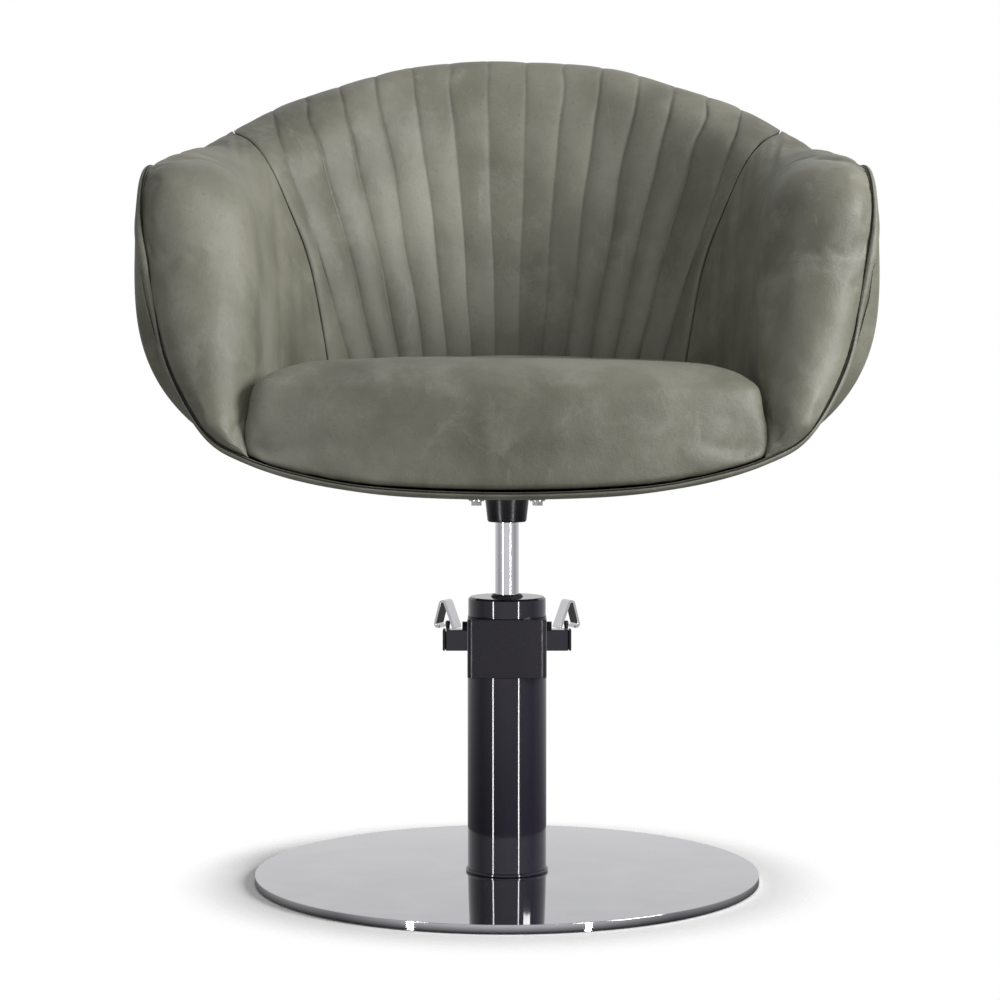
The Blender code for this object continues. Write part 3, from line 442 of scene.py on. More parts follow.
def finish_cad_nodes():
    """Every CAD node that stays gets its slot's finish, welded and smooth-shaded."""
    for part in frame["record"]["subparts"]:
        obj = frame["nodes"][part["node"]]
        obj.data.materials.clear()
        satin_painted_lighter = part["node"] in PAINTED_LIGHTER_NODES
        obj.data.materials.append(SATIN_BLACK_PAINTED_LIGHTER if satin_painted_lighter else FINISHES[part["material_slot"]])
        obj.data.polygons.foreach_set("use_smooth", [True] * len(obj.data.polygons))
        weld = obj.modifiers.new("weld", "WELD")
        weld.merge_threshold = WELD_DISTANCE
        split = obj.modifiers.new("sharp_edges", "EDGE_SPLIT")
        split.split_angle = math.radians(SHARP_ANGLE)


# ------------------------------------------------------------------ lining surface
ROLL_ROWS = 26
FACE_ROWS = 46
ROWS = ROLL_ROWS + FACE_ROWS
WALL_ROWS = 6
FOOT_START = 2.9              # where the arm pads' feet end on the rim, beside the cushion
FOOT_OFFSET = (0.0010, 0.0020, 0.0012)
FOOT_DROP = 0.0015
TABLE_STEP = 0.05
FACE_BULGE = 0.006            # fullness of the inner face between roll and cushion
TUCK_START = 8.6
TUCK_END = 10.2
ROLL_OVERHANG = 0.0060        # how far the roll hangs out over the tucked piping
FAN_PITCH_LOW = 0.0252        # spacing of the channel seams at the cushion ...
FAN_LOW_Z = 0.522
FAN_GROWTH = 1.57             # ... and how fast it widens with height
CHANNELS = 13
SEAM_WANDER = 0.10            # how far the seams stray, in channel widths
FAN_EDGE = CHANNELS / 2       # seams lie at half-integer fan values up to this one
# the arm seam: half width of the back pad, by height
ARM_SEAM = [
    (0.440, 0.1760),
    (0.524, 0.1850),
    (0.613, 0.2000),
    (0.640, 0.2080),
    (0.669, 0.2198),
    (0.710, 0.2365),
    (0.734, 0.2505),
    (0.749, 0.2660),
    (0.758, 0.2850),
]


def tuck(t):
    """How far the piping and welt hide behind the roll: 0 on the arm fronts, 1 further back."""
    place = min(t, 2 * LAST - t)
    share = min(max((place - TUCK_START) / (TUCK_END - TUCK_START), 0.0), 1.0)
    return share * share * (3 - 2 * share)


def spline_line(controls, count):
    """Points on the clamped uniform cubic B-spline of a control polygon."""
    points = np.array([controls[0]] * 2 + controls + [controls[-1]] * 2, float)
    found = []
    for place in np.linspace(0.0, len(points) - 3 - 1e-6, count):
        index = int(place)
        f = place - index
        weights = np.array([(1 - f) ** 3, 3 * f ** 3 - 6 * f ** 2 + 4,
                            -3 * f ** 3 + 3 * f ** 2 + 3 * f + 1, f ** 3]) / 6
        found.append(weights @ points[index:index + 4])
    return np.array(found)


def lining_section(t):
    """One section of the padding: (wall points bottom to top, visible line from the piping
    over the roll and down the inner face)."""
    grow = min(max((t - FOOT_START) / (FIRST_PAD - FOOT_START), 0.02), 1.0)
    rim, along, outward, edge = rim_frame(t)
    start = rim - outward * PAD_EDGE_INSET
    inner = line_at(INNER_EDGE, t, FIRST_PAD)
    seat = line_at(SEAT_LINE, t, FIRST_PAD)
    if t < FIRST_PAD:
        foot = line_at(RIM, FOOT_START) + Vector(FOOT_OFFSET)
        inner = foot.lerp(inner, grow)
        seat = foot.lerp(seat, grow) - Vector((0.0, 0.0, FOOT_DROP))
    low_u = height_to_u(t, min(seat.z, rim.z - 0.004))
    wall = [inset_wall(t, low_u + (0.985 - low_u) * row / (WALL_ROWS - 1), PAD_INSET * grow)
            for row in range(WALL_ROWS)]
    span = inner - start
    lift = span.cross(along).normalized()
    if lift.dot(edge) < 0:
        lift.negate()
    forward = max(-edge.y, 0.0) ** 1.6
    height = (ROLL_HEIGHT + (ROLL_HEIGHT_ARM_FRONT - ROLL_HEIGHT) * forward) * grow
    hang = ROLL_OVERHANG * tuck(t) * grow
    down = seat - inner
    inwards = along.cross(down).normalized()
    if inwards.dot(Vector((-inner.x, -inner.y, 0.0))) < 0:
        inwards.negate()
    bulge = inwards * FACE_BULGE * grow
    controls = [
        start,
        start + lift * height * 0.55 + outward * hang,
        start + span * 0.12 + lift * height * 1.25 + outward * hang * 0.7,
        start + span * 0.42 + lift * height * 1.45,
        start + span * 0.80 + lift * height * 1.00,
        inner + inwards * 0.006 * grow + down * 0.05 + lift * height * 0.10,
        inner + down * 0.28 + bulge,
        inner + down * 0.52 + bulge * 1.3,
        inner + down * 0.76 + bulge,
        seat,
    ]
    return wall, spline_line([tuple(point) for point in controls], ROWS)


def lining_table():
    """Sections at close steps of t along the right half, as arrays."""
    steps = np.arange(FOOT_START, LAST + TABLE_STEP / 2, TABLE_STEP)
    sections = [lining_section(float(t)) for t in steps]
    wall = np.array([[tuple(p) for p in section[0]] for section in sections])
    line = np.array([section[1] for section in sections])
    for _ in range(3):
        line[1:-1] = 0.5 * line[1:-1] + 0.25 * (line[2:] + line[:-2])
    return steps, wall, line


STEPS, WALL, LINE = lining_table()


def sample(table, t, row):
    """Points of one row of a table at an array of t values on the right half."""
    return np.stack([np.interp(t, STEPS, table[:, row, axis]) for axis in range(3)], axis=1)


def fan_pitch(z):
    """The channels' spacing at a height."""
    return FAN_PITCH_LOW * np.exp(FAN_GROWTH * (z - FAN_LOW_Z))


def seam_t():
    """The arm seam's t at each row of the lining."""
    heights = [point[0] for point in ARM_SEAM]
    widths = [point[1] for point in ARM_SEAM]
    crest = ROLL_ROWS // 2
    found = []
    for row in range(ROWS):
        x, z = LINE[:, row, 0], LINE[:, row, 2]
        past = STEPS > 10.5
        gap = x[past] - np.interp(z[past], heights, widths)
        found.append(float(np.interp(0.0, gap[::-1], STEPS[past][::-1])))
    found = np.array(found)
    found[:crest] = found[crest]
    for _ in range(6):
        found[1:-1] = 0.5 * found[1:-1] + 0.25 * (found[2:] + found[:-2])
    return found


ARM_SEAM_T = seam_t()


def fan_t(value):
    """The t of a fan line at each row; the fan counts channel widths from the middle."""
    found = []
    for row in range(ROWS):
        ratio = LINE[:, row, 0] / fan_pitch(LINE[:, row, 2])
        past = STEPS > 9.5
        wander = SEAM_WANDER * noise.noise(Vector((value * 0.9, row / 6.0, 3.0)))
        wander *= min(value, 1.0) if value < FAN_EDGE else 0.0
        found.append(float(np.interp(value + wander, ratio[past][::-1], STEPS[past][::-1])))
    return np.array(found)


def column(t_rows):
    """The closed section whose visible line takes its own t at each row."""
    line = np.array([sample(LINE, t_rows[row:row + 1], row)[0] for row in range(ROWS)])
    wall_t = np.interp(np.linspace(0.0, 1.0, WALL_ROWS), [0.0, 1.0], [t_rows[-1], t_rows[0]])
    wall = np.array([sample(WALL, wall_t[row:row + 1], row)[0] for row in range(WALL_ROWS)])
    return np.concatenate([wall, line])


def mirrored(columns):
    """The same columns on the other side of the chair, in the order that carries on round."""
    flipped = columns[::-1].copy()
    flipped[:, :, 0] *= -1
    return flipped


def lofted(name, columns, mat):
    """A closed mesh through columns of points, with a fan at both ends."""
    count, size = columns.shape[:2]
    verts = columns.reshape(-1, 3).tolist()
    faces = []
    for index in range(count - 1):
        for row in range(size):
            after = (row + 1) % size
            a, b = index * size + row, index * size + after
            faces.append((a, b, b + size, a + size))
    for index in (0, count - 1):
        verts.append(columns[index].mean(axis=0).tolist())
        for row in range(size):
            a, b = index * size + row, index * size + (row + 1) % size
            faces.append((b, a, len(verts) - 1) if index == 0 else (a, b, len(verts) - 1))
    mesh = bpy.data.meshes.new(name)
    mesh.from_pydata(verts, [], faces)
    mesh.validate()
    obj = bpy.data.objects.new(name, mesh)
    bpy.context.scene.collection.objects.link(obj)
    outward_faces(mesh)
    mesh.polygons.foreach_set("use_smooth", [True] * len(mesh.polygons))
    mesh.materials.append(mat)
    return obj


def outward_faces(mesh):
    """Turn all faces if the mesh encloses a negative volume."""
    co = coordinates(mesh)
    mesh.calc_loop_triangles()
    tris = np.zeros(len(mesh.loop_triangles) * 3, np.int32)
    mesh.loop_triangles.foreach_get("vertices", tris)
    a, b, c = (co[tris.reshape(-1, 3)[:, i]] for i in range(3))
    if np.einsum("ij,ij->i", a, np.cross(b, c)).sum() < 0:
        mesh.flip_normals()


def coordinates(mesh):
    co = np.zeros(len(mesh.vertices) * 3, np.float32)
    mesh.vertices.foreach_get("co", co)
    return co.reshape(-1, 3).astype(float)


def normals(mesh):
    values = np.zeros(len(mesh.vertices) * 3, np.float32)
    mesh.vertex_normals.foreach_get("vector", values)
    return values.reshape(-1, 3).astype(float)


def set_coordinates(mesh, co):
    mesh.vertices.foreach_set("co", co.astype(np.float32).ravel())
    mesh.update()


def push(obj, amount):
    """Move each vertex along its normal by its own amount."""
    co = coordinates(obj.data) + normals(obj.data) * amount[:, None]
    set_coordinates(obj.data, co)


def noise_field(co, scale, seed):
    """Smooth noise at every point, about -1 to 1."""
    offset = Vector((seed, seed * 0.37, -seed * 0.71))
    return np.array([noise.noise(Vector(p) * scale + offset) for p in co.tolist()])


CLOTH_FRAMES = 20
CLOTH_MASS = 0.3
CLOTH_STIFFNESS = 12.0
CLOTH_BENDING = 0.6


def puff(obj, pinned, pressure, cap):
    """Inflate a closed pad by cloth simulation, each point within cap of where it was."""
    before = coordinates(obj.data)
    group = obj.vertex_groups.new(name="pins")
    group.add([int(index) for index in np.flatnonzero(pinned)], 1.0, "REPLACE")
    cloth = obj.modifiers.new("puff", "CLOTH")
    settings = cloth.settings
    settings.quality = 4
    settings.mass = CLOTH_MASS
    settings.tension_stiffness = CLOTH_STIFFNESS
    settings.compression_stiffness = CLOTH_STIFFNESS
    settings.shear_stiffness = CLOTH_STIFFNESS * 0.5
    settings.bending_stiffness = CLOTH_BENDING
    settings.use_pressure = True
    settings.uniform_pressure_force = pressure
    settings.effector_weights.gravity = 0.0
    settings.vertex_group_mass = "pins"
    scene = bpy.context.scene
    for number in range(1, CLOTH_FRAMES + 1):
        scene.frame_set(number)
    graph = bpy.context.evaluated_depsgraph_get()
    after = coordinates(obj.evaluated_get(graph).data)
    moved = after - before
    length = np.linalg.norm(moved, axis=1, keepdims=True)
    moved *= np.minimum(1.0, cap / np.maximum(length, 1e-9))
    obj.modifiers.remove(cloth)
    obj.vertex_groups.remove(group)
    scene.frame_set(1)
    set_coordinates(obj.data, before + moved)


def store(obj, name, values):
    """Keep one number per vertex, for the material to read."""
    attribute = obj.data.attributes.new(name, "FLOAT", "POINT")
    attribute.data.foreach_set("value", values.astype(np.float32))


def refine(obj):
    """One more level of smooth subdivision, applied to the mesh."""
    obj.modifiers.new("refine", "SUBSURF").levels = 1
    graph = bpy.context.evaluated_depsgraph_get()
    finer = bpy.data.meshes.new_from_object(obj.evaluated_get(graph),
                                            preserve_all_data_layers=True, depsgraph=graph)
    obj.modifiers.clear()
    obj.data = finer


# ------------------------------------------------------------------ pads
SEAM_GAP = 0.0004             # in t, on each side of the arm seam
SEAM_BAND = 0.016             # share of the arm pad over which it rounds into the seam
SEAM_DEPTH = 0.0006
PAD_PRESSURE = 5.0
ARM_PUFF = 0.005              # how far a point of each pad may swell
BACK_PUFF = 0.003
ARM_WAVES = 0.0022            # heights of the soft unevenness of the covers
ARM_RIPPLES = 0.0007
BACK_WAVES = 0.0020
BACK_PUCKERS = 0.0011
CHANNEL_DEPTH = 0.0009        # the channels' fullness in the middle of the back ...
CHANNEL_DEPTH_SIDE = 0.0026   # ... and how much it grows towards the sides
CREST_SHARE = 0.14            # what is left of it on the crest of the back
CROWN_POWER = 2.6             # squareness of a channel's section


def rows_to_vertices(values, count):
    """A per-row array repeated for each column, with zeros for wall rows and end points."""
    whole = np.concatenate([np.zeros(WALL_ROWS), values])
    return np.concatenate([np.tile(whole, count), [0.0, 0.0]])


def columns_to_vertices(values):
    size = WALL_ROWS + ROWS
    return np.concatenate([np.repeat(values, size), [0.0, 0.0]])


def build_arm_pad(node, side):
    """One arm pad, from its foot beside the cushion to the seam at the back pad."""
    shares = np.concatenate([np.linspace(0.0, 0.975, 112), [0.983, 0.989, 0.994, 0.998, 1.0]])
    columns = np.array([column(FOOT_START + (ARM_SEAM_T - SEAM_GAP - FOOT_START) * share)
                        for share in shares])
    if side < 0:
        columns = mirrored(columns)
    pad = lofted(node + "_cover", columns, LEATHER)
    order = shares if side > 0 else shares[::-1]
    full = np.concatenate([np.zeros(WALL_ROWS), np.ones(ROWS)])
    visible = np.concatenate([np.tile(full, len(shares)), [0.0, 0.0]])
    along = columns_to_vertices(order)
    rows = rows_to_vertices(np.linspace(0.0, 1.0, ROWS), len(shares))
    near_seam = np.clip((along - 1.0 + SEAM_BAND) / SEAM_BAND, 0.0, 1.0) ** 2
    edges = (rows < 0.03) | (rows > 0.97) | (visible < 0.5) | (near_seam > 0.4) | (along < 0.03)
    puff(pad, edges, PAD_PRESSURE, ARM_PUFF)
    co = coordinates(pad.data)
    inside = np.clip(rows / 0.06, 0.0, 1.0) * visible
    waves = noise_field(co * np.array([1.0, 1.0, 0.55]), 15.0, 3.0) * ARM_WAVES
    ripples = noise_field(co * np.array([1.0, 1.0, 0.45]), 46.0, 8.0) * ARM_RIPPLES
    push(pad, (waves + ripples) * inside * (1 - near_seam) - near_seam * SEAM_DEPTH * visible)
    # painted shade along the arm seam, at the pad's far end
    store(pad, "seam", np.clip((along - 0.9985) / 0.0015, 0.0, 1.0) * visible * 0.30)
    refine(pad)
    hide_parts(node)
    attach(pad, "seat")
    return pad


def build_back_pad():
    """The back pad: a fan of stitched channels between the two arm seams."""
    in_channel = [0.0, 0.05, 0.11, 0.20, 0.32, 0.44, 0.56, 0.68, 0.80, 0.89, 0.95]
    values = []
    for channel in range(CHANNELS // 2):
        values += [FAN_EDGE - channel - share for share in in_channel]
    values += [0.5 - share for share in in_channel if share <= 0.5]
    fan_edge_t = fan_t(FAN_EDGE)
    wedge = [0.0, 0.006, 0.02, 0.05] + list(np.linspace(0.1, 0.94, 12)) + [0.975]
    columns, fan = [], []
    for share in wedge:
        start = ARM_SEAM_T + SEAM_GAP
        columns.append(column(start + (np.maximum(fan_edge_t, start + TABLE_STEP) - start) * share))
        fan.append(FAN_EDGE + 1.0 - share)
    for value in values:
        columns.append(column(np.maximum(fan_t(value), ARM_SEAM_T + SEAM_GAP + TABLE_STEP)))
        fan.append(value)
    right = np.array(columns)
    fan = np.array(fan)
    whole = np.concatenate([right, mirrored(right)])
    fan = np.concatenate([fan, -fan[::-1]])
    pad = lofted("back_pad_cover", whole, LEATHER)
    count = len(fan)
    value = columns_to_vertices(fan)
    full = np.concatenate([np.zeros(WALL_ROWS), np.ones(ROWS)])
    visible = np.concatenate([np.tile(full, count), [0.0, 0.0]])
    rows = rows_to_vertices(np.linspace(0.0, 1.0, ROWS), count)
    phase = np.mod(value + 0.5, 1.0)
    in_fan = np.abs(value) <= FAN_EDGE + 0.001
    nearest = np.minimum(phase, 1.0 - phase)
    wedge_share = np.clip(np.abs(value) - FAN_EDGE, 0.0, 1.0)
    nearest = np.where(in_fan, nearest, np.minimum(wedge_share, 1.0 - wedge_share))
    inside = np.clip(rows / 0.10, 0.0, 1.0) * visible
    crown = (1.0 - np.abs(1.0 - 2.0 * nearest) ** CROWN_POWER) ** (1 / CROWN_POWER)
    sideways = np.clip(np.abs(value) / FAN_EDGE, 0.0, 1.0)
    past_crest = np.clip((rows - 0.20) / 0.25, 0.0, 1.0)
    depth = CHANNEL_DEPTH + CHANNEL_DEPTH_SIDE * sideways
    depth *= CREST_SHARE + (1.0 - CREST_SHARE) * past_crest
    push(pad, (crown - 0.62) * depth * inside)
    on_seam = nearest < 0.001
    edges = (rows < 0.03) | (rows > 0.97) | (visible < 0.5) | on_seam
    puff(pad, edges, PAD_PRESSURE, BACK_PUFF)
    co = coordinates(pad.data)
    waves = noise_field(co * np.array([1.0, 1.0, 0.7]), 13.0, 5.0) * BACK_WAVES
    pucker = noise_field(co * np.array([0.6, 0.6, 2.2]), 55.0, 9.0) * BACK_PUCKERS
    near = np.clip(1.0 - nearest / 0.3, 0.0, 1.0)
    push(pad, (waves + pucker * near) * inside)
    # painted shade along the channel seams: fainter in the middle of the back, patchy by noise
    faint = 0.40 + 0.50 * np.clip(np.abs(value) / 3.0, 0.0, 1.0)
    faint *= 0.55 + 0.45 * noise_field(co * np.array([0.4, 0.4, 1.0]), 30.0, 21.0)
    store(pad, "seam", np.clip(1.0 - nearest / 0.06, 0.0, 1.0) * inside * np.clip(faint, 0, 1))
    refine(pad)
    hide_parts("back_pad")
    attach(pad, "seat")
    return pad


CUSHION_FRONT_OVERHANG = 0.0012  # the cushion's front edge hides the piping's top
CUSHION_FRONT_END = 2.75      # how far the front follows the rim, in t
CUSHION_CENTRE = (0.0, -0.055)
CUSHION_BOTTOM_GAP = 0.0042
BOARD_GAP = 0.0024
CUSHION_SHOULDER = 0.030      # the rounding from the side into the top, in plan ...
SHOULDER_HEIGHT = 0.019       # ... and in height
CUSHION_BELLY = 0.0045
CUSHION_PRESSURE = 6.0
CUSHION_PUFF = 0.006
CUSHION_WAVES = 0.0030
CUSHION_RIPPLES = 0.0009


def cushion_outline():
    """The cushion's plan outline, evenly spaced: the seat line closed along the front rim."""
    points = []
    for t in np.linspace(FIRST_PAD, 2 * LAST - FIRST_PAD, 121):
        points.append(line_at(SEAT_LINE, float(t), FIRST_PAD).xy)
    for t in np.linspace(-CUSHION_FRONT_END, CUSHION_FRONT_END, 61):
        spot = line_at(RIM, abs(float(t))).xy
        spot *= 1.0 + CUSHION_FRONT_OVERHANG / spot.length
        points.append(Vector((math.copysign(spot.x, t), spot.y)))
    points = np.array([tuple(point) for point in points + points[:1]])
    walked = np.concatenate([[0.0], np.cumsum(np.linalg.norm(np.diff(points, axis=0), axis=1))])
    even = np.linspace(0.0, walked[-1], 241)[:-1]
    outline = np.stack([np.interp(even, walked, points[:, axis]) for axis in range(2)], axis=1)
    for _ in range(4):
        outline = 0.5 * outline + 0.25 * (np.roll(outline, 1, axis=0) + np.roll(outline, -1, axis=0))
    return outline


def bowl_heights(points):
    """Height of the shell's inner surface under points in plan."""
    turns = np.linspace(0.0, 2.0 * LAST, 257)[:-1]
    levels = np.linspace(0.02, 1.0, 40)
    grid = np.array([[tuple(shell_point(float(t), float(u))) for u in levels] for t in turns])
    angles = np.mod(np.arctan2(grid[:, 20, 0], -grid[:, 20, 1]), 2 * math.pi)
    angles[0] = 0.0
    found = []
    for x, y in points:
        angle = math.atan2(x, -y) % (2 * math.pi)
        index = int(np.argmin(np.abs(angles - angle)))
        radii = np.hypot(grid[index, :, 0], grid[index, :, 1])
        found.append(float(np.interp(math.hypot(x, y), radii, grid[index, :, 2])))
    return np.array(found)


def build_cushion():
    """The seat cushion: a crowned closed form with a deep rounded front edge."""
    outline = cushion_outline()
    centre = np.array(CUSHION_CENTRE)
    top_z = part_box("seat_cushion")[1].z
    board_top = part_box("seat_board")[1].z
    reach = np.linalg.norm(outline - centre, axis=1)[:, None]
    direction = (outline - centre) / reach
    floor = bowl_heights(outline)
    rings = []
    for share in (0.30, 0.60, 0.85):
        flat = centre + (outline - centre) * share
        under = np.maximum(bowl_heights(flat) + CUSHION_BOTTOM_GAP, board_top + BOARD_GAP)
        rings.append(np.column_stack([flat, under]))
    side_rows = 13
    front = np.clip(-outline[:, 1] / 0.20, 0.0, 1.0)
    edge_z = top_z - CUSHION_SHOULDER
    for index in range(side_rows):
        share = index / (side_rows - 1)
        belly = CUSHION_BELLY * math.sin(math.pi * share) * front
        flat = outline + direction * (belly - 0.0005)[:, None]
        z = (floor + 0.0002) * (1 - share) + edge_z * share
        rings.append(np.column_stack([flat, z]))
    shoulder_rows = 9
    for index in range(1, shoulder_rows + 1):
        angle = math.pi / 2 * index / (shoulder_rows + 1)
        inset = CUSHION_SHOULDER * (1 - math.cos(angle))
        flat = outline - direction * (inset + 0.0015)
        height = edge_z + SHOULDER_HEIGHT * math.sin(angle)
        rings.append(np.column_stack([flat, np.full(len(flat), height)]))
    for share in (0.80, 0.70, 0.59, 0.47, 0.35, 0.22, 0.10):
        flat = centre + (outline - centre) * share
        rise = 1.0 - share ** 2.2
        shoulder_z = edge_z + SHOULDER_HEIGHT
        z = shoulder_z + (top_z - shoulder_z) * rise
        rings.append(np.column_stack([flat, np.full(len(flat), z)]))
    grid = np.array(rings)
    pad = lofted("seat_cushion_cover", grid, LEATHER)
    count = len(outline)
    ring_index = np.concatenate([np.repeat(np.arange(len(rings)), count), [0, len(rings)]])
    pinned = ring_index < 5
    puff(pad, pinned, CUSHION_PRESSURE, CUSHION_PUFF)
    co = coordinates(pad.data)
    top = np.clip((ring_index - 4) / 6.0, 0.0, 1.0)
    waves = noise_field(co, 10.0, 12.0) * CUSHION_WAVES
    ripples = noise_field(co * np.array([1.0, 1.0, 1.6]), 34.0, 15.0) * CUSHION_RIPPLES
    push(pad, (waves + ripples) * top)
    store(pad, "seam", np.zeros(len(co)))
    refine(pad)
    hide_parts("seat_cushion")
    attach(pad, "seat")
    return pad


# ------------------------------------------------------------------ shell and piping
WELT_SINK = 0.0050            # how far the welt drops where it is tucked behind the roll
PIPING_SINK = 0.0055


def build_shell():
    """The leatherette-covered tub shell with a soft welt round its rim."""
    per_point = 8
    steps = [index / per_point for index in range(2 * LAST * per_point)]
    levels = list(np.linspace(0.05, 0.955, 30))
    bead = [(-0.0002, -0.0030), (-0.0001, 0.0004), (0.0006, 0.0018), (0.0020, 0.0024),
            (0.0036, 0.0022), (0.0050, 0.0010), (0.0057, -0.0012), (0.0059, -0.0040),
            (0.0059, -0.0068)]
    columns = []
    for t in steps:
        rim, _, outward, edge = rim_frame(t)
        inside = [shell_point(t, u) for u in levels]
        sink = WELT_SINK * tuck(t)
        turn = [rim + outward * out + edge * (up - sink) for out, up in bead]
        outside = [inset_wall(t, u, -SHELL_WALL) for u in reversed(levels)]
        columns.append([tuple(p) for p in inside + turn + outside])
    grid = np.array(columns)
    count, size = grid.shape[:2]
    verts = grid.reshape(-1, 3).tolist()
    faces = []
    for index in range(count):
        after = (index + 1) % count
        for row in range(size - 1):
            faces.append((index * size + row, index * size + row + 1,
                          after * size + row + 1, after * size + row))
    for row, z in ((0, SHELL_INNER_BOTTOM), (size - 1, SHELL_INNER_BOTTOM - SHELL_WALL)):
        verts.append((0.0, 0.0, z))
        for index in range(count):
            a, b = index * size + row, (index + 1) % count * size + row
            faces.append((a, b, len(verts) - 1) if row == 0 else (b, a, len(verts) - 1))
    mesh = bpy.data.meshes.new("shell_cover")
    mesh.from_pydata(verts, [], faces)
    mesh.validate()
    outward_faces(mesh)
    mesh.polygons.foreach_set("use_smooth", [True] * len(mesh.polygons))
    mesh.materials.append(LEATHER)
    shell = bpy.data.objects.new("shell_cover", mesh)
    bpy.context.scene.collection.objects.link(shell)
    store(shell, "seam", np.zeros(len(verts)))
    refine(shell)
    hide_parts("outer_shell")
    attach(shell, "seat")
    return shell


def build_piping():
    """The black piping between the pads and the welt."""
    per_point = 10
    sides = 12
    steps = [index / per_point for index in range(2 * LAST * per_point)]
    verts, faces = [], []
    for t in steps:
        rim, _, outward, edge = rim_frame(t)
        out = PIPING_RADIUS + 0.0004 + 0.0020 * tuck(t)
        up = PIPING_RADIUS + 0.0010 - PIPING_SINK * tuck(t)
        centre = rim + outward * out + edge * up
        for side in range(sides):
            angle = 2 * math.pi * side / sides
            verts.append(tuple(centre + outward * PIPING_RADIUS * math.cos(angle)
                               + edge * PIPING_RADIUS * math.sin(angle)))
    count = len(steps)
    for index in range(count):
        after = (index + 1) % count
        for side in range(sides):
            turn = (side + 1) % sides
            faces.append((index * sides + side, index * sides + turn,
                          after * sides + turn, after * sides + side))
    mesh = bpy.data.meshes.new("piping")
    mesh.from_pydata(verts, [], faces)
    outward_faces(mesh)
    mesh.polygons.foreach_set("use_smooth", [True] * len(mesh.polygons))
    mesh.materials.append(CORD)
    piping = bpy.data.objects.new("piping", mesh)
    bpy.context.scene.collection.objects.link(piping)
    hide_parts("rim_piping")
    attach(piping, "seat")
    return piping


COVER_BORE = 0.0402           # the disc's bore, its skin and its rounded edge
COVER_SKIN = 0.0015
COVER_EDGE = 0.0006


def build_cover():
    """The polished disc over the base plate, turned with a small round edge."""
    low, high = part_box("base_cover")
    radius, top = high.x, high.z
    profile = [(COVER_BORE, top - COVER_SKIN), (COVER_BORE, top)]
    for index in range(7):
        angle = math.radians(90.0 - 15.0 * index)
        profile.append((radius - COVER_EDGE * (1 - math.cos(angle)),
                        top - COVER_EDGE * (1 - math.sin(angle))))
    inside = radius - COVER_SKIN
    profile += [(radius, low.z), (inside, low.z), (inside, top - COVER_SKIN)]
    count, size = 256, len(profile)
    verts, faces = [], []
    for index in range(count):
        turn = 2 * math.pi * index / count
        verts += [(r * math.cos(turn), r * math.sin(turn), z) for r, z in profile]
        after = (index + 1) % count
        faces += [(index * size + row, after * size + row, after * size + (row + 1) % size,
                   index * size + (row + 1) % size) for row in range(size)]
    mesh = bpy.data.meshes.new("base_disc")
    mesh.from_pydata(verts, [], faces)
    outward_faces(mesh)
    mesh.polygons.foreach_set("use_smooth", [True] * len(mesh.polygons))
    sharp_rows = (0, 1, size - 3, size - 2, size - 1)
    sharp = mesh.attributes.new("sharp_edge", "BOOLEAN", "EDGE")
    for edge in mesh.edges:
        first, second = edge.vertices
        same_row = first % size == second % size
        sharp.data[edge.index].value = same_row and first % size in sharp_rows
    mesh.materials.append(FINISHES["mirror_steel"])
    disc = bpy.data.objects.new("base_disc", mesh)
    bpy.context.scene.collection.objects.link(disc)
    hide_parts("base_cover")
    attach(disc, "base")


# ------------------------------------------------------------------ studio
FLOOR_HALF = 12.0
FLOOR_Z = -0.0002
FLOOR_FADE = (0.24, 0.34)     # where the floor starts to fade and where it is gone


def build_stage():
    """A plain pale floor under the chair, which fades into the white background."""
    mesh = bpy.data.meshes.new("floor")
    corners = [(-1, -1), (1, -1), (1, 1), (-1, 1)]
    verts = [(x * FLOOR_HALF, y * FLOOR_HALF, FLOOR_Z) for x, y in corners]
    mesh.from_pydata(verts, [], [(0, 1, 2, 3)])
    floor = bpy.data.objects.new("floor", mesh)
    bpy.context.scene.collection.objects.link(floor)
    floor.visible_glossy = False
    mat, nodes, links, shader = material("floor_white")
    shader.inputs["Base Color"].default_value = (0.92, 0.92, 0.92, 1.0)
    shader.inputs["Roughness"].default_value = 0.9
    shader.inputs["Specular IOR Level"].default_value = 0.0
    reach = nodes.new("ShaderNodeVectorMath")
    reach.operation = "LENGTH"
    links.new(object_space(nodes), reach.inputs[0])
    fade = nodes.new("ShaderNodeMapRange")
    fade.interpolation_type = "SMOOTHSTEP"
    fade.inputs["From Min"].default_value = FLOOR_FADE[0]
    fade.inputs["From Max"].default_value = FLOOR_FADE[1]
    links.new(reach.outputs["Value"], fade.inputs["Value"])
    clear = nodes.new("ShaderNodeBsdfTransparent")
    both = nodes.new("ShaderNodeMixShader")
    links.new(fade.outputs["Result"], both.inputs[0])
    links.new(shader.outputs[0], both.inputs[1])
    links.new(clear.outputs[0], both.inputs[2])
    links.new(both.outputs[0], nodes["Material Output"].inputs["Surface"])
    mesh.materials.append(mat)


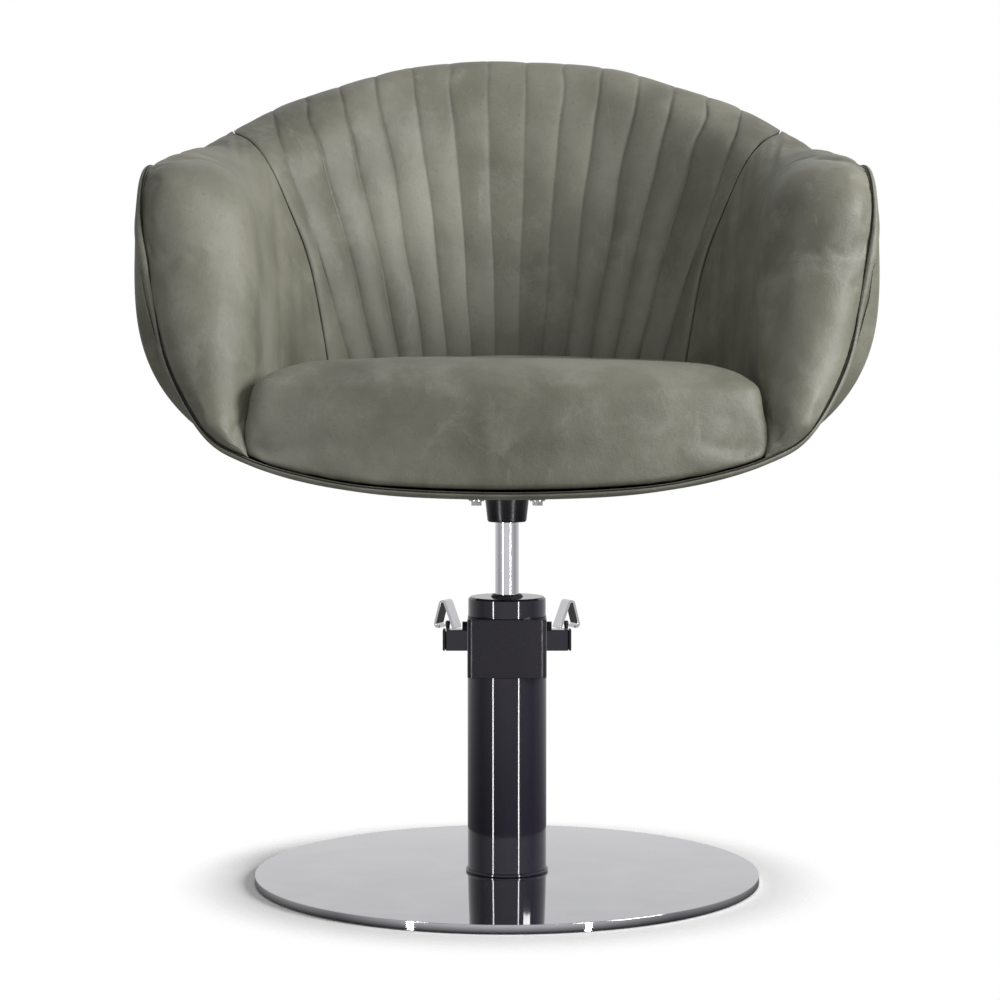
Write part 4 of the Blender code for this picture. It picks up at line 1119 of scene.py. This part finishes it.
def build_world():
    """A white studio: seen white by the camera, graded for what the surfaces reflect."""
    world = bpy.data.worlds.new("studio")
    bpy.context.scene.world = world
    world.use_nodes = True
    nodes, links = world.node_tree.nodes, world.node_tree.links
    background = nodes["Background"]
    output = nodes["World Output"]
    rays = nodes.new("ShaderNodeLightPath")
    direction = nodes.new("ShaderNodeTexCoord").outputs["Generated"]
    parts = nodes.new("ShaderNodeSeparateXYZ")
    links.new(direction, parts.inputs[0])
    depth = nodes.new("ShaderNodeMapRange")
    depth.inputs["From Min"].default_value = -1.0
    links.new(parts.outputs["Y"], depth.inputs["Value"])
    grade = ramp(nodes, links, depth.outputs["Result"], [
        (0.0, (0.72, 0.71, 0.75)),
        (0.42, (0.34, 0.34, 0.36)),
        (0.75, (0.60, 0.60, 0.61)),
        (1.0, (0.72, 0.72, 0.73)),
    ])
    rise = nodes.new("ShaderNodeMapRange")
    rise.inputs["From Min"].default_value = -1.0
    links.new(parts.outputs["Z"], rise.inputs["Value"])
    low = ramp(nodes, links, rise.outputs["Result"], [(0.395, 0.08), (0.445, 0.85), (0.48, 1.0)])
    links.new(mix(nodes, links, 1.0, grade, low, "MULTIPLY"), background.inputs["Color"])
    background.inputs["Strength"].default_value = 1.0
    soft = nodes.new("ShaderNodeBackground")
    links.new(ramp(nodes, links, rise.outputs["Result"], [(0.2, 0.40), (0.5, 0.150), (0.9, 0.30)]),
              soft.inputs["Color"])
    white = nodes.new("ShaderNodeBackground")
    white.inputs["Color"].default_value = (1.0, 1.0, 1.0, 1.0)
    white.inputs["Strength"].default_value = 1.0
    by_kind = nodes.new("ShaderNodeMixShader")
    links.new(rays.outputs["Is Glossy Ray"], by_kind.inputs[0])
    links.new(soft.outputs[0], by_kind.inputs[1])
    links.new(background.outputs[0], by_kind.inputs[2])
    seen = nodes.new("ShaderNodeMixShader")
    links.new(rays.outputs["Is Camera Ray"], seen.inputs[0])
    links.new(by_kind.outputs[0], seen.inputs[1])
    links.new(white.outputs[0], seen.inputs[2])
    links.new(seen.outputs[0], output.inputs["Surface"])


def softbox(name, azimuth, distance, height, size, power, aim_z=0.5):
    """An area light at an azimuth round the chair, 0 in front and positive to the right."""
    light = bpy.data.lights.new(name, "AREA")
    light.shape = "RECTANGLE"
    light.size, light.size_y = size
    light.energy = power
    obj = bpy.data.objects.new(name, light)
    turn = math.radians(azimuth)
    obj.location = (distance * math.sin(turn), -distance * math.cos(turn), height)
    aim = Vector((0.0, 0.0, aim_z)) - obj.location
    obj.rotation_euler = aim.to_track_quat("-Z", "Y").to_euler()
    obj.visible_camera = False
    bpy.context.scene.collection.objects.link(obj)
    return obj


LIGHT_DISTANCE = 2.6
STRIP_HEIGHT = 0.9


def build_lights():
    """Two thin strips for the lines on the metal, a key from the right, a low fill and a top."""
    for name, azimuth in (("strip_left", -41.0), ("strip_right", 34.3)):
        strip = softbox(name, azimuth, LIGHT_DISTANCE, STRIP_HEIGHT, (0.11, 3.2), 30.0,
                        STRIP_HEIGHT)
        strip.visible_diffuse = False
    softbox("key_right", 62.0, LIGHT_DISTANCE, 1.5, (1.1, 1.1), 78.0)
    low_front = softbox("low_front", 0.0, LIGHT_DISTANCE, 0.22, (1.8, 0.5), 9.0, 0.36)
    low_front.visible_glossy = False
    softbox("top", 0.0, 0.2, LIGHT_DISTANCE, (1.6, 1.6), 7.0)


CAMERA_DISTANCE = 2.6
CAMERA_HEIGHT = 0.529
CAMERA_PITCH = 3.235          # degrees below the horizon
FOCAL_LENGTHS = 2.608         # focal length in picture widths
SENSOR = 36.0
SHIFT_X = -0.0070


def build_camera():
    data = bpy.data.cameras.new("camera")
    data.sensor_width = SENSOR
    data.lens = FOCAL_LENGTHS * SENSOR
    data.shift_x = SHIFT_X
    camera = bpy.data.objects.new("camera", data)
    camera.location = (0.0, -CAMERA_DISTANCE, CAMERA_HEIGHT)
    camera.rotation_euler = (math.radians(90.0 - CAMERA_PITCH), 0.0, 0.0)
    bpy.context.scene.collection.objects.link(camera)
    bpy.context.scene.camera = camera


build_camera()
build_world()
build_lights()
build_stage()
build_shell()
build_piping()
build_cover()
build_arm_pad("arm_pad_right", 1)
build_arm_pad("arm_pad_left", -1)
build_back_pad()
build_cushion()
finish_cad_nodes()
bpy.context.scene.view_settings.view_transform = "Standard"
